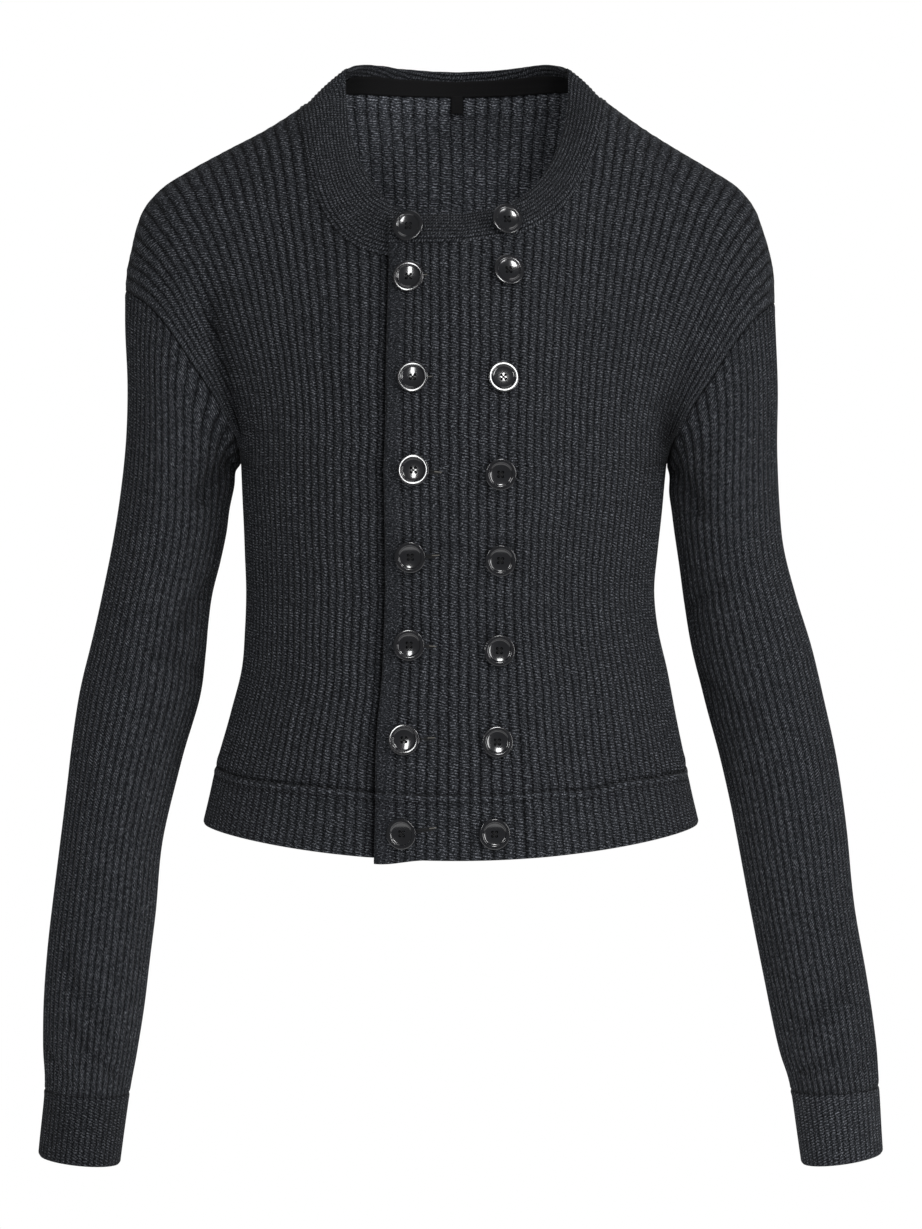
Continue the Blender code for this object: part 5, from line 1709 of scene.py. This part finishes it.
def slit_paths(name, reach, tilt):
    """The binding loop, the slit's painted shadow and the loose end of the buttonhole behind a button."""
    middle = BUTTON_PLACES[name].translation
    cosine, sine = math.cos(math.radians(tilt)), math.sin(math.radians(tilt))

    def beside(out, up, rise, lift):
        """Point out along the tilted slit and up from it, with a plain rise added, in mm."""
        x, z = (out * cosine - up * sine) * MM, (out * sine + up * cosine + rise) * MM
        return on_cloth(middle.x + x, middle.z + z, lift)

    loop, centre = [], reach - SLIT_HALF
    for angle in np.linspace(0, 2 * math.pi, BINDING_POINTS, endpoint=False):
        squared = math.copysign(abs(math.cos(angle)) ** BINDING_SQUARE, math.cos(angle))
        loop.append(beside(centre + SLIT_HALF * squared, BINDING_HALF * math.sin(angle), 0, BINDING_LIFT))
    slit = [beside(centre + SLIT_HALF * share, 0, 0, SLIT_LIFT)
            for share in np.linspace(-SLIT_SHARE, SLIT_SHARE, SLIT_POINTS)]
    loose = [beside(reach + step, 0, LOOSE_RISE, LOOSE_LIFT) for step in LOOSE_STEPS]
    return loop, slit, loose


holes = [slit_paths(f"button_right_{row + 1}", SLIT_REACH[row], SLIT_TILT[row]) for row in range(1, 8)]
loops, slits, loose = zip(*holes)
# Painted shadow: a dark strand sunk in the cloth where each slit opens.
slit_dark = strands("buttonhole_slits", slits, SLIT_RADIUS, THREAD_AND_SLIT_SHADOW)
bindings = strands("buttonhole_bindings", loops, BINDING_RADIUS, THREAD_DARK, cyclic=True)
loose_ends = strands("buttonhole_thread_ends", loose, THREAD_RADIUS, THREAD_PALE)
print("buttonholes", [triangles(piece) for piece in (slit_dark, bindings, loose_ends)], "triangles")

# %% [markdown]
# ## What each sheet was cut from
#
# Every knitted piece is a sheet that was made flat. Its flat size is stated, and each piece's own
# surface is measured and printed beside it.


# %% Sheets
def cloth_area(piece):
    """Half the surface of a thickened sheet, in square metres."""
    seen = finished(piece)
    surface = sum(face.area for face in seen.to_mesh().polygons)
    seen.to_mesh_clear()
    return surface / 2


SHEETS = (
    # piece, flat width, flat length, share of that rectangle that the cut fills, what it hangs from
    (front_right, 0.300, 0.455, 0.78, ["neckband_knit", "back_knit"]),
    (front_left, 0.310, 0.455, 0.78, ["neckband_knit", "back_knit"]),
    (back_piece, 0.440, 0.470, 0.86, ["neckband_knit"]),
    (hem_right, 0.290, 0.036, None, ["front_right_knit"]),
    (hem_left, 0.290, 0.036, None, ["front_left_knit"]),
    (hem_back, 0.420, 0.036, None, ["back_knit"]),
    (sleeves[RIGHT], 0.290, 0.560, 0.74, ["front_right_knit", "back_knit"]),
    (sleeves[LEFT], 0.285, 0.560, 0.74, ["front_left_knit", "back_knit"]),
    (cuffs[RIGHT], 0.170, 0.048, None, ["sleeve_right_knit"]),
    (cuffs[LEFT], 0.170, 0.048, None, ["sleeve_left_knit"]),
    (neckband, 0.670, 0.052, None, ["back_knit"]),
    (tape, 0.190, 0.010, None, ["neckband_knit"]),
    (facing, 0.158, 0.022, None, ["back_neck_tape_woven"]),
)
for piece, width, length, share, above in SHEETS:
    area = None if share is None else round(width * length * share, 5)
    print(piece.name, "cloth", round(cloth_area(piece), 4), "flat", round(area or width * length, 4))

# %% [markdown]
# ## Floor, light and background
#
# A pale floor lies under the garment and fades to the white of the background, so no edge shows.
# A key light stands in front to the right and a narrow strip to the left, and the buttons reflect
# both as bright spots and rings. A weaker box lights the side, one overhead the shoulders, and one
# behind outlines the sleeves. The white world fills the shadows. It looks whiter to the camera than
# it lights, which is how a garment is shot against a bright wall that stands well behind it.

# %% Floor
FLOOR_Z = -0.95
FLOOR_RADIUS, FLOOR_SIDES = 1.3, 96
FLOOR_WHITE = "#e9e9e8"
FADE = (0.35, 0.8)         # metres from the middle over which the floor turns to the background's white
GLOW = 0.55                # share of its own light in the middle, as a lit acrylic table has

bm = bmesh.new()
bmesh.ops.create_circle(bm, cap_ends=True, segments=FLOOR_SIDES, radius=FLOOR_RADIUS)
bmesh.ops.translate(bm, vec=(0, 0, FLOOR_Z), verts=bm.verts)
floor = in_scene("floor", mesh_of("floor", bm))

made, tree, shader = new_material("painted_white_floor")
where = node(tree, "TexCoord").outputs["Object"]
spot = node(tree, "Mapping", {0: where, "Scale": (1.0, 1.0, 0.0)})
reach = node(tree, "VectorMath", (spot,), operation="LENGTH").outputs["Value"]
glow = node(tree, "Emission", {"Color": (1, 1, 1, 1), "Strength": 1.0})
share = node(tree, "MapRange", (reach, *FADE, GLOW, 1.0), **SOFT)
blend = node(tree, "MixShader", (share, shader, glow))
shader.inputs["Base Color"].default_value = linear(FLOOR_WHITE)
shader.inputs["Roughness"].default_value = 0.6
tree.links.new(blend.outputs[0], tree.nodes["Material Output"].inputs["Surface"])
floor.data.materials.append(made)
print("floor at", FLOOR_Z)

# %% Light
AIM = Vector((0, 0, -0.33))
SOFT_BOXES = (
    # name, place, width, height, power in watts
    ("key", (1.24, -3.3, 1.3), 0.68, 0.84, 38.0),
    ("side", (2.3, -2.0, -0.1), 0.8, 1.6, 32.0),
    ("strip", (-1.06, -3.3, 0.62), 0.42, 1.15, 26.0),
    ("top", (0.1, -0.7, 1.9), 1.6, 1.0, 8.0),
    ("behind", (0.4, 2.9, 0.5), 2.4, 2.0, 60.0),
)
for name, place, width, height, power in SOFT_BOXES:
    data = bpy.data.lights.new(name, "AREA")
    data.shape = "RECTANGLE"
    data.size, data.size_y = width, height
    data.energy = power
    lamp = in_scene(name, data)
    lamp.location = place
    lamp.rotation_euler = (Vector(place) - AIM).to_track_quat("Z", "Y").to_euler()

WORLD_FILL = 0.16          # strength of the world as a light; the camera sees it at full white
world = bpy.data.worlds.new("studio")
world.use_nodes = True
bpy.context.scene.world = world
tree = world.node_tree
sky = tree.nodes["Background"]
seen = node(tree, "LightPath").outputs["Is Camera Ray"]
strength = node(tree, "Math", (seen, 1.0 - WORLD_FILL, WORLD_FILL), operation="MULTIPLY_ADD")
sky.inputs["Color"].default_value = (1, 1, 1, 1)
tree.links.new(strength.outputs[0], sky.inputs["Strength"])
bpy.context.scene.view_settings.view_transform = "Standard"
print(len(SOFT_BOXES), "soft boxes")
